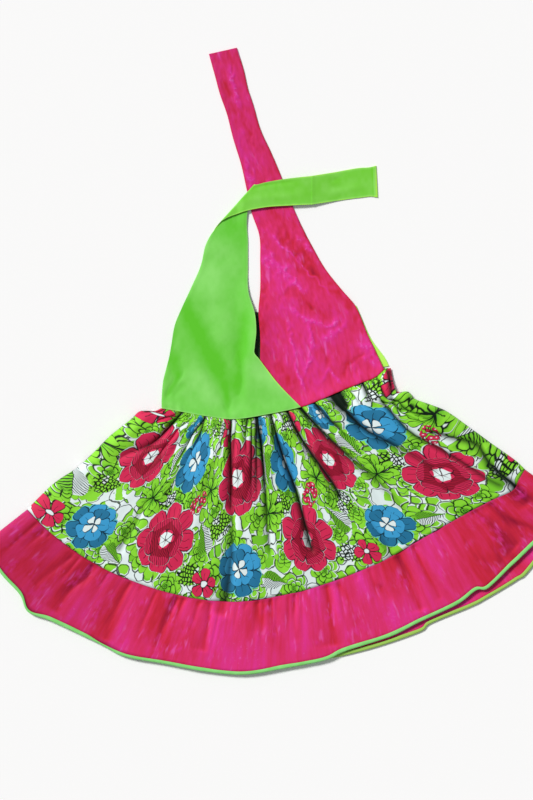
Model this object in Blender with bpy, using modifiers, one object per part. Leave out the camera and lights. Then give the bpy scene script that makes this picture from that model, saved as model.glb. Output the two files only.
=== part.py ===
"""A child's halter dress in wax print, lying flat on its back with the skirt spread out.

Lengths are in millimetres until place() turns them into metres. X runs across the dress, Y up it
from the waist to the neck straps, and Z up from the surface that it lies on. The origin is on that
surface, just below the middle of the back waist seam.

Every piece of cloth is an open sheet lofted between its edge curves, which Solidify makes a wall.
The sheet is the wall's lower face, and where the green strap is turned over it is the upper one.
"""
import math
from collections import namedtuple

import bmesh
import bpy
from mathutils import Vector

MM = 0.001

# Cloth and seams
CLOTH = 1.2                    # wall of every piece
SEAM_GAP = 0.3                 # between neighbours at a seam, and between layers
LAYER = CLOTH + SEAM_GAP       # height of the second layer above the surface
BINDING_WIDTH = 5.4

# The green strap turns over this crease, from the armhole side to the neckline side.
CREASE_START = Vector((-75.6, 201.6))
CREASE_END = Vector((-25.2, 257.5))
TURN_RADIUS = 1.6              # outside of the turned cloth
TURN_ROWS = 7

# Above the back bodice's top edge the fronts come down to the surface
COME_DOWN_START = 117.0
COME_DOWN_END = 155.0
# Where the green front climbs onto the pink one
WRAP_START = -50.0
WRAP_END = -32.0
# Where the green strap climbs onto the pink strap, across and up, before it turns over
STRAP_CLIMB_X = (-48.0, -38.0)
STRAP_CLIMB_Y = (200.0, 221.0)
# Where the turned strap comes down beyond the pink strap
STRAP_DROP_START = 27.0
STRAP_DROP_END = 84.0

# How high the gathered cloth stands above the layer under it, from its top seam to its lower one
SKIRT_PUFF = ((0.0, 1.5), (0.02, 1.5), (0.15, 7.0), (0.3, 8.0), (0.7, 6.0), (0.97, 4.0), (1.0, 4.0))
BAND_PUFF = ((0.0, 4.0), (0.06, 4.0), (0.5, 4.6), (0.93, 3.4), (1.0, 3.4))
EDGE_FALL = 14.0               # the puff dies away over this distance from a side edge
BAND_GATHER_DEPTH = 0.45       # part of the puff that the band's own gathers take away
BAND_GATHERS = 19

Section = namedtuple("Section", "left_x left_y right_x right_y sag")
Fold = namedtuple("Fold", "top hem top_width hem_width top_depth hem_depth")

# Each section runs from the left edge to the right edge, and sags this much at its middle.
GREEN_FRONT = (
    Section(-137, -10, 30, -8, 15),
    Section(-137, 2, 5, 17, 9),
    Section(-137, 24, -11, 37, 4),
    Section(-132, 38, -20, 49, 2),
    Section(-129, 52, -25.8, 56.4, 1),
    Section(-126, 63, -25.4, 63.6, 0),
    Section(-121, 91, -23.6, 84, 0),
    Section(-114, 108, -25, 102, 0),
    Section(-102, 134, -33, 130, 0),
    Section(-90, 162, -33.6, 162, 0),
    Section(-85, 184, -33.6, 188, 0),
    Section(-77.5, 198, -33.6, 228, 0),
    Section(-75.0, 200.6, -26.0, 255, 0),
)
GREEN_STRAP_TURNED_OVER = (
    Section(-74.0, 210.5, -30.0, 259.5, 0),
    Section(-64, 232, -26.5, 272, 0),
    Section(-58.5, 268, -25, 290, 0),
    Section(-58.7, 302, -25, 310, 0),
    Section(-59.0, 325, -25, 329, 0),
)
GREEN_STRAP_END = (
    Section(-58.9, 325.3, -24.9, 329.3, 0),
    Section(-56.5, 352, -23, 354, 0),
    Section(-55.5, 385, -20.5, 388, 0),
    Section(-57, 406, -21, 409, 0),
)
PINK_FRONT = (
    Section(-17, -18, 129.6, 36, 7),
    Section(-19, 14, 121, 55, 3),
    Section(-19, 48, 110, 78, 1),
    Section(-19, 78, 95, 113, 0),
    Section(-21, 105, 79, 132, 0),
    Section(-19, 132, 60, 156, 0),
    Section(-19, 166, 43, 185, 0),
    Section(-20, 197, 31, 208, 0),
    Section(-29, 224, 21.5, 229, 0),
    Section(-35.5, 254, 10, 259, 0),
    Section(-42, 283, -5.5, 296, 0),
    Section(-51.5, 314, -18.5, 324, 0),
    Section(-59.5, 345, -27, 353, 0),
    Section(-67, 366, -33.5, 373, 0),
    Section(-73, 388, -38.5, 395, 0),
    Section(-80.5, 415, -47, 422.5, 0),
)
BODICE_BACK = (
    Section(-134, -5, 135.5, 41, -2),
    Section(-131, 18, 131, 50, 0),
    Section(-127, 48, 115, 72, 2),
    Section(-120, 84, 104.5, 94, 4),
    Section(-110, 110, 96.5, 113, 6),
)

# Seams and edges of the skirt, from the left side to the right: (x, y)
WAIST_FRONT = (
    (-137, -10), (-112, -14.4), (-85, -19.2), (-50, -23), (-9, -17), (30, -8.5), (55, 1), (78, 10.8),
    (102, 20.4), (118, 26.4), (129.6, 36), (137, 38.4),
)
WAIST_BACK = ((-134, -5.3), (0, 19.7), (135.5, 40.7))
SEAM_FRONT = (
    (-298, -131), (-263, -164), (-211, -199), (-144, -226), (-77, -240), (-24, -239), (47, -224),
    (116, -198), (154, -178), (200, -151), (258, -120), (284, -108), (290, -96), (298, -83),
)
SEAM_BACK = (
    (-295, -133), (-259, -164), (-209, -197), (-144, -222), (-77, -236), (-24, -236), (47, -226),
    (116, -204), (186, -169), (245, -137), (287, -106), (295, -85),
)
HEM_FRONT = (
    (-354, -175), (-329, -209), (-307, -233), (-297, -254), (-269, -265), (-214, -291), (-182, -307),
    (-134, -316), (-86, -325), (-38, -329), (10, -321.5), (58, -312), (83, -301), (138, -283),
    (172, -266), (217, -245), (240, -228), (254, -225.5), (281, -200), (298, -184), (358, -125),
)
HEM_BACK = (
    (-348, -174), (-324, -205), (-305, -230), (-295, -247), (-269, -260), (-214, -287), (-180, -302),
    (-134, -311), (-86, -320), (-38, -324), (10, -317), (58, -311), (84, -306), (125, -295),
    (173, -278), (186, -268), (234, -248), (253, -238), (288, -217), (306, -202), (361, -127),
)
LEFT_SIDE = (
    (-137, -10), (-145, -13.5), (-155, -13), (-164, -14.5), (-174, -24), (-198, -43), (-217, -62), (-239, -82),
    (-267, -101), (-298, -131),
)
RIGHT_SIDE = (
    (137, 38.4), (140.5, 18), (145, 9.6), (158, 9.6), (166, 1), (185, -6), (205, -14.4), (233, -34),
    (259, -53), (286, -72), (298, -83),
)
SIDE_BULGE_REACH = 5           # higher keeps the bulge of a side edge nearer to that edge
BACK_INSET = 2.5               # the back panel's sides lie this far inside the front's

# Troughs of the gathered skirt. top and hem are distances along the waist seam and along the band seam
# from their left ends. Depth is the part of the puff that the trough takes away.
SKIRT_FOLDS = (
    Fold(13, 52, 3, 9, 0.6, 0.3),
    Fold(27, 130, 4, 10, 0.9, 0.4),
    Fold(46, 176, 3, 12, 0.6, 0.3),
    Fold(68, 212, 4, 9, 0.7, 0.2),
    Fold(85, 258, 4, 10, 0.9, 0.5),
    Fold(101, 296, 3, 9, 0.6, 0.2),
    Fold(116, 332, 4, 10, 0.9, 0.4),
    Fold(132, 374, 4, 9, 0.9, 0.5),
    Fold(152, 414, 4, 11, 0.9, 0.6),
    Fold(166, 452, 4, 12, 0.9, 0.4),
    Fold(184, 496, 3, 10, 0.6, 0.3),
    Fold(205, 548, 5, 14, 1.0, 0.7),
    Fold(228, 590, 4, 10, 0.6, 0.4),
    Fold(252, 622, 4, 12, 0.8, 0.9),
)

# Rows along and columns across each kind of sheet
BODICE_COLUMNS = 12            # every row of a bodice piece has as many
COLUMN_BIAS = 1.6              # above 1, the columns are closer together near the right edge
SKIRT_COLUMNS = 72
SKIRT_DOWN = (0.0, 0.02, 0.07, 0.14, 0.26, 0.42, 0.62, 0.82, 0.97, 1.0)
BAND_DOWN = (0.0, 0.06, 0.5, 0.93, 1.0)
BACK_DOWN = (0.0, 0.05, 0.15, 0.4, 1.0)

# Colour (linear), roughness
LIME = ((0.21, 0.70, 0.08, 1.0), 0.75)
PINK = ((0.75, 0.03, 0.15, 1.0), 0.45)
WAX_PRINT = ((0.36, 0.56, 0.12, 1.0), 0.65)
BINDING_GREEN = ((0.26, 0.74, 0.22, 1.0), 0.7)


def clear_scene():
    for existing in list(bpy.data.objects):
        bpy.data.objects.remove(existing, do_unlink=True)


def cloth_material(name, finish):
    color, roughness = finish
    material = bpy.data.materials.new(name)
    material.use_nodes = True
    shader = material.node_tree.nodes["Principled BSDF"]
    shader.inputs["Base Color"].default_value = color
    shader.inputs["Roughness"].default_value = roughness
    shader.inputs["Metallic"].default_value = 0.0
    return material


def smoothstep(start, end, value):
    t = min(1.0, max(0.0, (value - start) / (end - start)))
    return t * t * (3.0 - 2.0 * t)


def profile(points, t):
    """Height at t of a smooth profile through (position, height) pairs."""
    for (t0, h0), (t1, h1) in zip(points, points[1:]):
        if t <= t1:
            return h0 + (h1 - h0) * smoothstep(t0, t1, t)
    return points[-1][1]


def catmull_rom(points, t):
    """Point on the smooth curve through the points, where t counts them."""
    i = min(int(t), len(points) - 2)
    f = t - i
    p1 = Vector(points[i])
    p2 = Vector(points[i + 1])
    p0 = Vector(points[i - 1]) if i > 0 else 2 * p1 - p2
    p3 = Vector(points[i + 2]) if i + 2 < len(points) else 2 * p2 - p1
    return 0.5 * (2 * p1 + (p2 - p0) * f + (2 * p0 - 5 * p1 + 4 * p2 - p3) * f * f
                  + (3 * p1 - p0 - 3 * p2 + p3) * f * f * f)


def smooth_curve(points, fractions, steps_per_point=12):
    """Points at the given fractions of the length of the smooth curve through the points."""
    steps = (len(points) - 1) * steps_per_point
    fine = [catmull_rom(points, k / steps_per_point) for k in range(steps + 1)]
    reach = [0.0]
    for a, b in zip(fine, fine[1:]):
        reach.append(reach[-1] + (b - a).length)
    result = []
    k = 0
    for fraction in fractions:
        target = reach[-1] * fraction
        while k < steps - 1 and reach[k + 1] < target:
            k += 1
        f = (target - reach[k]) / (reach[k + 1] - reach[k])
        result.append(fine[k].lerp(fine[k + 1], f))
    return result


def row_length(row):
    return sum((b - a).length for a, b in zip(row, row[1:]))


def evenly(columns):
    return [j / columns for j in range(columns + 1)]


def place(x, y, z):
    return Vector((x * MM, y * MM, z * MM))


def make_sheet(name, rows, material, collection):
    """A wall of cloth on the sheet through the rows, which go up the dress and each from left to right."""
    bm = bmesh.new()
    verts = [[bm.verts.new(point) for point in row] for row in rows]
    for lower, upper in zip(verts, verts[1:]):
        for k in range(len(lower) - 1):
            bm.faces.new((lower[k], lower[k + 1], upper[k + 1], upper[k]))
    mesh = bpy.data.meshes.new(name)
    bm.to_mesh(mesh)
    bm.free()
    mesh.materials.append(material)
    mesh.shade_smooth()
    sheet = bpy.data.objects.new(name, mesh)
    collection.objects.link(sheet)
    wall = sheet.modifiers.new("Cloth", "SOLIDIFY")
    wall.thickness = CLOTH * MM
    wall.offset = 1.0
    return sheet


# Bodice pieces, lofted from sections

def section_rows(sections, hem=None):
    """Flat rows of (x, y), one for each section. A first row that is sewn to a seam follows its curve."""
    rows = []
    for section in sections:
        a = Vector((section.left_x, section.left_y))
        b = Vector((section.right_x, section.right_y))
        row = []
        for j in range(BODICE_COLUMNS + 1):
            across = 1.0 - (1.0 - j / BODICE_COLUMNS) ** COLUMN_BIAS
            point = a.lerp(b, across)
            point.y -= 4.0 * section.sag * across * (1.0 - across)
            row.append(point)
        rows.append(row)
    if hem:
        for point in rows[0]:
            point.y = height_of_curve(hem, point.x) + SEAM_GAP / 2
    return rows


def height_of_curve(curve, x):
    """y of a left-to-right curve at x."""
    for a, b in zip(curve, curve[1:]):
        if x <= b.x:
            return a.y + (b.y - a.y) * (x - a.x) / (b.x - a.x)
    return curve[-1].y


def waist_curve(points):
    return smooth_curve(points, evenly(SKIRT_COLUMNS))


def on_back_bodice(y):
    """1 where a front lies on the back bodice, 0 where it lies on the surface."""
    return 1.0 - smoothstep(COME_DOWN_START, COME_DOWN_END, y)


def pink_height(point):
    return LAYER * on_back_bodice(point.y)


def on_pink_strap(point):
    """1 where the green strap lies on the pink one, 0 before it."""
    return smoothstep(*STRAP_CLIMB_X, point.x) * smoothstep(*STRAP_CLIMB_Y, point.y)


def green_height(point):
    wrap = smoothstep(WRAP_START, WRAP_END, point.x)
    return LAYER * (on_back_bodice(point.y) * (1.0 + wrap) + on_pink_strap(point))


def turn_over(point):
    """Where a point of the flat strap goes when the strap turns over its crease."""
    along = (CREASE_END - CREASE_START).normalized()
    outward = Vector((-along.y, along.x))
    beyond = (point - CREASE_START).dot(outward)
    arc = math.pi * TURN_RADIUS
    if beyond < arc:
        angle = beyond / TURN_RADIUS
        moved = point + outward * (TURN_RADIUS * math.sin(angle) - beyond)
        height = TURN_RADIUS * (1.0 - math.cos(angle))
    else:
        moved = point + outward * (arc - 2.0 * beyond)
        height = 2.0 * TURN_RADIUS
    height += LAYER * on_pink_strap(moved)
    drop = smoothstep(STRAP_DROP_START, STRAP_DROP_END, moved.x)
    return place(moved.x, moved.y, height + (CLOTH - height) * drop)


def make_pink_front(collection):
    rows = [[place(p.x, p.y, pink_height(p)) for p in row]
            for row in section_rows(PINK_FRONT, waist_curve(WAIST_FRONT))]
    make_sheet("bodice_front_pink", rows, cloth_material("pink_shot_cloth", PINK), collection)


def make_green_front(collection, material):
    flat = section_rows(GREEN_FRONT, waist_curve(WAIST_FRONT))
    turned = section_rows(GREEN_STRAP_TURNED_OVER)
    rows = [[place(p.x, p.y, green_height(p)) for p in row] for row in flat]
    for k in range(1, TURN_ROWS):
        rows.append([turn_over(a.lerp(b, k / TURN_ROWS)) for a, b in zip(flat[-1], turned[0])])
    rows.extend([turn_over(p) for p in row] for row in turned)
    make_sheet("bodice_front_green", rows, material, collection)


def make_strap_end(collection, material):
    rows = [[turn_over(p) for p in row] for row in section_rows(GREEN_STRAP_END)]
    make_sheet("strap_extension_green", rows, material, collection)


def make_back_bodice(collection, material):
    rows = [[place(p.x, p.y, 0.0) for p in row]
            for row in section_rows(BODICE_BACK, waist_curve(WAIST_BACK))]
    make_sheet("bodice_back", rows, material, collection)


# Skirt pieces, lofted between seams

def loft(top, bottom, down_steps):
    """Flat rows of (x, y) from the bottom curve up to the top one."""
    return [[a.lerp(b, down) for a, b in zip(top, bottom)] for down in reversed(down_steps)]


def skirt_rows(top, bottom, columns, down_steps, inset):
    """A loft from the band seam up to the waist, pulled out to the skirt's bulging side edges."""
    rows = loft(smooth_curve(top, evenly(columns)), smooth_curve(bottom, evenly(columns)), down_steps)
    left = smooth_curve(LEFT_SIDE, down_steps)
    right = smooth_curve(RIGHT_SIDE, down_steps)
    for row, left_edge, right_edge, down in zip(rows, reversed(left), reversed(right), reversed(down_steps)):
        if down in (0.0, 1.0):
            continue
        left_pull = left_edge + Vector((inset, 0.0)) - row[0]
        right_pull = right_edge - Vector((inset, 0.0)) - row[-1]
        for j, point in enumerate(row):
            across = j / columns
            point += left_pull * (1.0 - across) ** SIDE_BULGE_REACH
            point += right_pull * across ** SIDE_BULGE_REACH
    return rows


def open_seams(rows, top_gap, bottom_gap):
    """Shorten each column by half a seam gap at the ends that are sewn to a neighbour."""
    for j in range(len(rows[0])):
        if bottom_gap:
            rows[0][j] = rows[0][j] + (rows[1][j] - rows[0][j]).normalized() * (SEAM_GAP / 2)
        if top_gap:
            rows[-1][j] = rows[-1][j] + (rows[-2][j] - rows[-1][j]).normalized() * (SEAM_GAP / 2)


def edge_fall(across, length):
    from_edge = min(across, 1.0 - across) * length
    return smoothstep(0.0, EDGE_FALL, from_edge)


def fold_relief(across, down, lengths):
    """What the troughs leave of the puff: 1 on a crest, near 0 in a deep trough."""
    top_length, seam_length = lengths
    length = top_length + (seam_length - top_length) * down
    left = 1.0
    for fold in SKIRT_FOLDS:
        top = fold.top / top_length
        centre = top + (fold.hem / seam_length - top) * down
        width = fold.top_width + (fold.hem_width - fold.top_width) * down
        depth = fold.top_depth + (fold.hem_depth - fold.top_depth) * down
        away = (across - centre) * length / width
        left *= 1.0 - depth * math.exp(-away * away)
    return left * edge_fall(across, length)


def band_relief(across, down, lengths):
    """The skirt's troughs carried on, and the band's own gathers, which start below its seam."""
    swing = 2.1 * math.sin(math.tau * 3 * across)
    gather = 0.5 + 0.5 * math.sin(math.tau * BAND_GATHERS * across + swing)
    own = 1.0 - BAND_GATHER_DEPTH * gather * smoothstep(0.0, 0.5, down)
    return fold_relief(across, 1.0, lengths) * own


def raise_rows(rows, down_steps, puff, relief, lengths):
    """Rows of points with the height of the gathered cloth over the layer below."""
    raised = []
    for row, down in zip(rows, reversed(down_steps)):
        columns = len(row) - 1
        height = profile(puff, down)
        raised.append([place(p.x, p.y, LAYER + height * relief(j / columns, down, lengths))
                       for j, p in enumerate(row)])
    return raised


def lay_flat(rows):
    return [[place(p.x, p.y, 0.0) for p in row] for row in rows]


def inner_hem(seam, hem):
    """The hem's edge without its binding: each point moved towards the seam by the binding's width."""
    return [b + (a - b).normalized() * BINDING_WIDTH for a, b in zip(seam, hem)]


def make_front_skirt(collection, lengths, wax_print, pink, green):
    rows = skirt_rows(WAIST_FRONT, SEAM_FRONT, SKIRT_COLUMNS, SKIRT_DOWN, 0.0)
    open_seams(rows, True, True)
    panel = raise_rows(rows, SKIRT_DOWN, SKIRT_PUFF, fold_relief, lengths)
    make_sheet("skirt_front", panel, wax_print, collection)

    seam = smooth_curve(SEAM_FRONT, evenly(SKIRT_COLUMNS))
    hem = smooth_curve(HEM_FRONT, evenly(SKIRT_COLUMNS))
    edge = inner_hem(seam, hem)
    rows = loft(seam, edge, BAND_DOWN)
    open_seams(rows, True, True)
    band = raise_rows(rows, BAND_DOWN, BAND_PUFF, band_relief, lengths)
    make_sheet("hem_band_front", band, pink, collection)

    rows = [hem, edge]
    open_seams(rows, True, False)
    binding = raise_rows(rows, (1.0, 1.0), BAND_PUFF, band_relief, lengths)
    make_sheet("hem_binding_front", binding, green, collection)


def make_back_skirt(collection, wax_print, pink, green):
    columns = SKIRT_COLUMNS // 2
    rows = skirt_rows(WAIST_BACK, SEAM_BACK, columns, BACK_DOWN, BACK_INSET)
    open_seams(rows, True, True)
    make_sheet("skirt_back", lay_flat(rows), wax_print, collection)

    seam = smooth_curve(SEAM_BACK, evenly(SKIRT_COLUMNS))
    hem = smooth_curve(HEM_BACK, evenly(SKIRT_COLUMNS))
    edge = inner_hem(seam, hem)
    rows = [edge, seam]
    open_seams(rows, True, True)
    make_sheet("hem_band_back", lay_flat(rows), pink, collection)

    rows = [hem, inner_hem(seam, hem)]
    open_seams(rows, True, False)
    make_sheet("hem_binding_back", lay_flat(rows), green, collection)


def main():
    clear_scene()
    dress = bpy.data.collections.new("ankara_wax_print_dress")
    bpy.context.scene.collection.children.link(dress)
    lime = cloth_material("lime_cotton", LIME)
    pink = cloth_material("pink_band_cloth", PINK)
    binding = cloth_material("green_binding", BINDING_GREEN)
    wax_print = cloth_material("wax_print", WAX_PRINT)
    make_back_bodice(dress, lime)
    make_pink_front(dress)
    make_green_front(dress, lime)
    make_strap_end(dress, lime)
    make_back_skirt(dress, wax_print, pink, binding)
    waist_length = row_length(waist_curve(WAIST_FRONT))
    seam_length = row_length(smooth_curve(SEAM_FRONT, evenly(SKIRT_COLUMNS)))
    make_front_skirt(dress, (waist_length, seam_length), wax_print, pink, binding)


main()
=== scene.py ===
"""Looks for the halter dress in wax print, lying flat on its back with the skirt spread out.

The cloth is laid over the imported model's outlines, which the tables below repeat. Lengths are in
millimetres, and turned into metres where a mesh is made. Only places on a flat cut piece are in
metres from the start. X runs across the dress, Y up it and Z up from the floor. A grid of points is
the cloth's upper or outer face, and its thickness lies behind it. On the turned strap that face
looks down.
"""
import math
from collections import namedtuple

import bpy
import numpy as np
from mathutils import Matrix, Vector


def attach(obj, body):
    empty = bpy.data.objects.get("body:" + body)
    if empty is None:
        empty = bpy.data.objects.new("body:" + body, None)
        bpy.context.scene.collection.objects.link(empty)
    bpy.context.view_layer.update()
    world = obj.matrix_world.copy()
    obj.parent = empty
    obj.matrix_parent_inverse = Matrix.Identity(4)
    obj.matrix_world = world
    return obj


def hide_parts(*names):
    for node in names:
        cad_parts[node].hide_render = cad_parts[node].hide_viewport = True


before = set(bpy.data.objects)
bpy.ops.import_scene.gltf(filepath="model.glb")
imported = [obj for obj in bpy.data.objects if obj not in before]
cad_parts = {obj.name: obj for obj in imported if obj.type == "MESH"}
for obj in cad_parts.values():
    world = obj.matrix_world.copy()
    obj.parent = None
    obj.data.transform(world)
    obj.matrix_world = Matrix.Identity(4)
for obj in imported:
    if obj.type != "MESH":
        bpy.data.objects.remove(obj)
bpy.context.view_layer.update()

MM = 0.001

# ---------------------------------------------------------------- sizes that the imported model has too
LAYER = 1.5                    # height of the second layer above the floor
BINDING_WIDTH = 5.4
CREASE_START = np.array((-75.6, 201.6))
CREASE_END = np.array((-25.2, 257.5))
COME_DOWN = (117.0, 155.0)     # the fronts come down to the floor above the back bodice
WRAP = (-50.0, -32.0)          # the green front climbs onto the pink one
STRAP_CLIMB_X = (-48.0, -38.0)
STRAP_CLIMB_Y = (200.0, 221.0)
STRAP_DROP = (27.0, 84.0)      # the turned strap comes down from the pink one to the floor
EDGE_ROLL = 14.0               # a side edge of the skirt or the band rounds down over this distance
SIDE_BULGE_POWER = 5           # the higher, the nearer a side's bulge keeps to its edge
BACK_INSET = 2.5               # the back panel's side edges lie this far inside the front's

# ---------------------------------------------------------------- sizes of the look alone
CLOTH = 0.8                    # thickness of the cloth
GATHERED_CLOTH = 0.6           # the same where steep folds leave less room
BINDING_CLOTH = 0.35
BINDING_HALF = 1.1             # half the thickness of the folded binding
TURN_RADIUS = 0.7              # inside of the turned cloth
KEYHOLE_X = -22.0
KEYHOLE_LIP = ((30.0, 62.0), (92.0, 130.0))   # up the dress, its lips rise and fall over these
BODICE_TOP = (190.0, 215.0)    # the green front's loose folds end below its turned strap
UNDER_STRAP = (178.0, 214.0)   # the turned strap shades the front below it
BAND_INSET = 1.6               # the front band ends this far inside the hem, within its binding
BACK_BAND_INSET = 1.8


# Rows of a bodice piece or a strap, from its lower end up: left x, left y, right x, right y, and how
# far the row sags in its middle
GREEN_FRONT = (
    (-137, -10, 30, -8, 15),
    (-137, 2, 5, 17, 9),
    (-135, 24, -11, 37, 4),
    (-131.5, 38, -20, 49, 2),
    (-128, 52, -25.8, 56.4, 1),
    (-126, 63, -25.4, 63.6, 0),
    (-121, 91, -23.6, 84, 0),
    (-114, 108, -25, 102, 0),
    (-102, 134, -33, 130, 0),
    (-90, 162, -33.6, 162, 0),
    (-85, 184, -33.6, 188, 0),
    (-78.0, 198.4, -33.6, 228, 0),
    (-76.0, 201.2, -26.0, 255, 0),
)
GREEN_STRAP_TURNED_OVER = (
    (-70.6, 208.4, -26.2, 258.0, 0),
    (-65.6, 215.0, -26.4, 260.5, 0),
    (-58.0, 238, -25.0, 271, 0),
    (-54.6, 266, -23.5, 290, 0),
    (-55.6, 300, -23, 310, 0),
    (-57.0, 325, -23, 329, 0),
)
GREEN_STRAP_END = (
    (-57.1, 324, -22.9, 328, 0),
    (-55.5, 352, -21.2, 354, 0),
    (-54.5, 385, -19, 387, 0),
    (-54.6, 397, -19.4, 399, 0),
    (-56.5, 404, -18.4, 406, 0),
)
PINK_FRONT = (
    (-17, -18, 129.6, 36, 7),
    (-19, 14, 121, 55, 3),
    (-19, 48, 110, 78, 1),
    (-19, 78, 95, 113, 0),
    (-21, 105, 79, 132, 0),
    (-19, 132, 60, 156, 0),
    (-19, 166, 43, 185, 0),
    (-20, 197, 31, 208, 0),
    (-29, 224, 21.5, 229, 0),
    (-35.5, 254, 10, 259, 0),
    (-42, 283, -5.5, 296, 0),
    (-51.5, 314, -18.5, 324, 0),
    (-59.5, 345, -27, 353, 0),
    (-67, 366, -33.5, 373, 0),
    (-73, 388, -38.5, 395, 0),
    (-80.5, 415, -47, 422.5, 0),
)
BODICE_BACK = (
    (-134, -5, 135.5, 41, -2),
    (-131, 18, 131, 50, 0),
    (-127, 48, 115, 72, 2),
    (-120, 84, 104.5, 94, 4),
    (-110, 110, 96.5, 113, 6),
)
WAIST_FRONT = (
    (-137, -10), (-112, -14.4), (-85, -19.2), (-50, -23), (-9, -17), (30, -8.5), (55, 1), (78, 10.8),
    (102, 20.4), (118, 26.4), (129.6, 36), (137, 38.4),
)
WAIST_BACK = ((-134, -5.3), (0, 19.7), (135.5, 40.7))
SEAM_FRONT = (
    (-298, -131), (-263, -164), (-211, -199), (-144, -226), (-77, -240), (-24, -239), (47, -224),
    (116, -198), (154, -178), (200, -151), (258, -120), (284, -108), (290, -96), (298, -83),
)
SEAM_BACK = (
    (-295, -133), (-259, -164), (-209, -197), (-144, -222), (-77, -236), (-24, -236), (47, -226),
    (116, -204), (186, -169), (245, -137), (287, -106), (295, -85),
)
HEM_FRONT = (
    (-354, -175), (-329, -209), (-307, -233), (-297, -254), (-269, -265), (-214, -291), (-182, -307),
    (-134, -316), (-86, -325), (-38, -329), (10, -321.5), (58, -312), (83, -301), (138, -283),
    (172, -266), (217, -245), (240, -228), (254, -225.5), (281, -200), (298, -184), (358, -125),
)
HEM_BACK = (
    (-348, -174), (-324, -205), (-305, -230), (-295, -247), (-269, -260), (-214, -287), (-180, -302),
    (-134, -311), (-86, -320), (-38, -324), (10, -317), (58, -311), (84, -306), (125, -295),
    (173, -278), (186, -268), (234, -248), (253, -238), (288, -217), (306, -202), (361, -127),
)
LEFT_SIDE = (
    (-137, -10), (-145, -13.5), (-155, -13), (-164, -14.5), (-174, -24), (-198, -43), (-217, -62),
    (-239, -82), (-267, -101), (-298, -131),
)
RIGHT_SIDE = (
    (137, 38.4), (140.5, 18), (145, 9.6), (158, 9.6), (166, 1), (185, -6), (205, -14.4), (233, -34),
    (259, -53), (286, -72), (298, -83),
)

# ---------------------------------------------------------------- creases and gathers
Crease = namedtuple("Crease", "points width height")
Gather = namedtuple("Gather", "points width depth")

# Each crease is a line on the laid dress. A height below zero is a trough.
GREEN_CREASES = (
    Crease(((-126, 146), (-114, 118), (-106, 104), (-94, 83), (-80, 56), (-66, 24), (-59, -2), (-57, -18)),
           12, -1.6),
    Crease(((-34, 130), (-36, 112), (-38, 85), (-43, 50), (-45, 20), (-48, -6), (-50, -26)), 8, -1.35),
    Crease(((-118, 100), (-126, 66), (-133, 28)), 4.5, -0.9),
    Crease(((-121, 62), (-121, 44), (-119, 32), (-114, 22)), 6.5, -1.2),
    Crease(((-108, 42), (-118, 26), (-128, 10), (-136, -6)), 3.5, -1.0),
    Crease(((-52, 205), (-66, 174), (-86, 142), (-104, 112)), 24, 0.75),
    Crease(((-40, 56), (-17, 37), (13, 8), (24, -6)), 12, 1.2),
    Crease(((-106, 46), (-94, 27), (-75, -1), (-70, -16)), 13, 0.8),
    Crease(((-70, 120), (-64, 92), (-60, 60)), 12, 0.7),
    Crease(((-62, 28), (-59, 4), (-57, -26)), 4.5, -1.0),
    Crease(((-52, 14), (-49, -4), (-46, -26)), 6, 0.5),
    Crease(((-126, -4), (-118, 12), (-104, 22)), 4, -0.5),
    Crease(((-92, 172), (-70, 168), (-44, 176)), 9, -0.5),
)
PINK_CREASES = (
    Crease(((-14, 240), (-2, 219), (12, 196), (33, 169), (59, 142), (84, 117), (104, 90), (116, 62)),
           8.5, -1.45),
    Crease(((20, 208), (27, 196), (38, 180), (50, 164)), 5, 1.3),
    Crease(((-16, 222), (-10, 207), (2, 186), (21, 173), (40, 152), (59, 134), (79, 113), (88, 100)),
           2, 1.5),
    Crease(((-18, 196), (-13, 184), (-6, 161), (17, 146), (33, 125), (40, 112)), 8, 1.1),
    Crease(((-8, 170), (-2, 165), (10, 157), (21, 146), (31, 129), (34, 120)), 1.8, 1.0),
    Crease(((84, 114), (80, 106), (77, 97), (65, 88), (50, 90), (33, 98), (17, 109), (2, 113)), 2.6, 1.3),
    Crease(((8, 110), (12, 100), (17, 77), (23, 50), (27, 29), (38, 8), (44, -2)), 1.9, 1.2),
    Crease(((34, 102), (38, 92), (44, 77), (42, 56), (35, 35), (31, 18)), 2.1, 1.2),
    Crease(((46, 70), (56, 73), (71, 81), (86, 92), (93, 106)), 4.5, 1.0),
    Crease(((98, 82), (105, 69), (117, 46), (125, 36)), 8, 1.0),
    Crease(((50, 20), (56, 27), (65, 35), (77, 18), (82, 12)), 2.4, 1.0),
    Crease(((-12, 160), (-13, 142), (-17, 104), (-15, 65), (-10, 40)), 6, -1.0),
    Crease(((0, 120), (6, 123), (21, 129), (40, 113), (63, 98), (72, 94)), 5, -1.2),
    Crease(((-10, 70), (-6, 56), (13, 27), (27, -2)), 7, -0.9),
    Crease(((112, 60), (107, 56), (88, 43), (84, 30), (84, 22)), 2.6, -1.2),
    Crease(((56, 66), (62, 50), (60, 34)), 3, -0.7),
    Crease(((-38, 300), (-32, 268), (-24, 234)), 3, 1.0),
    Crease(((-26, 296), (-18, 262), (-6, 230)), 3.4, -1.1),
    Crease(((-12, 270), (-8, 250), (2, 226)), 3, 0.9),
    Crease(((-66, 404), (-56, 360), (-44, 318)), 3.6, -1.1),
    Crease(((-58, 412), (-50, 372), (-38, 336)), 2.8, 1.0),
    Crease(((-46, 360), (-36, 326), (-24, 296)), 3, -0.8),
)
STRAP_CREASES = (
    Crease(((-60, 226), (-30, 240), (10, 244), (46, 248)), 5, 0.5),
    Crease(((-40, 250), (-10, 258), (30, 262)), 3, -0.5),
    Crease(((56, 246), (84, 252), (112, 258)), 5, 0.5),
    Crease(((60, 262), (90, 268)), 3, -0.4),
)

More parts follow.
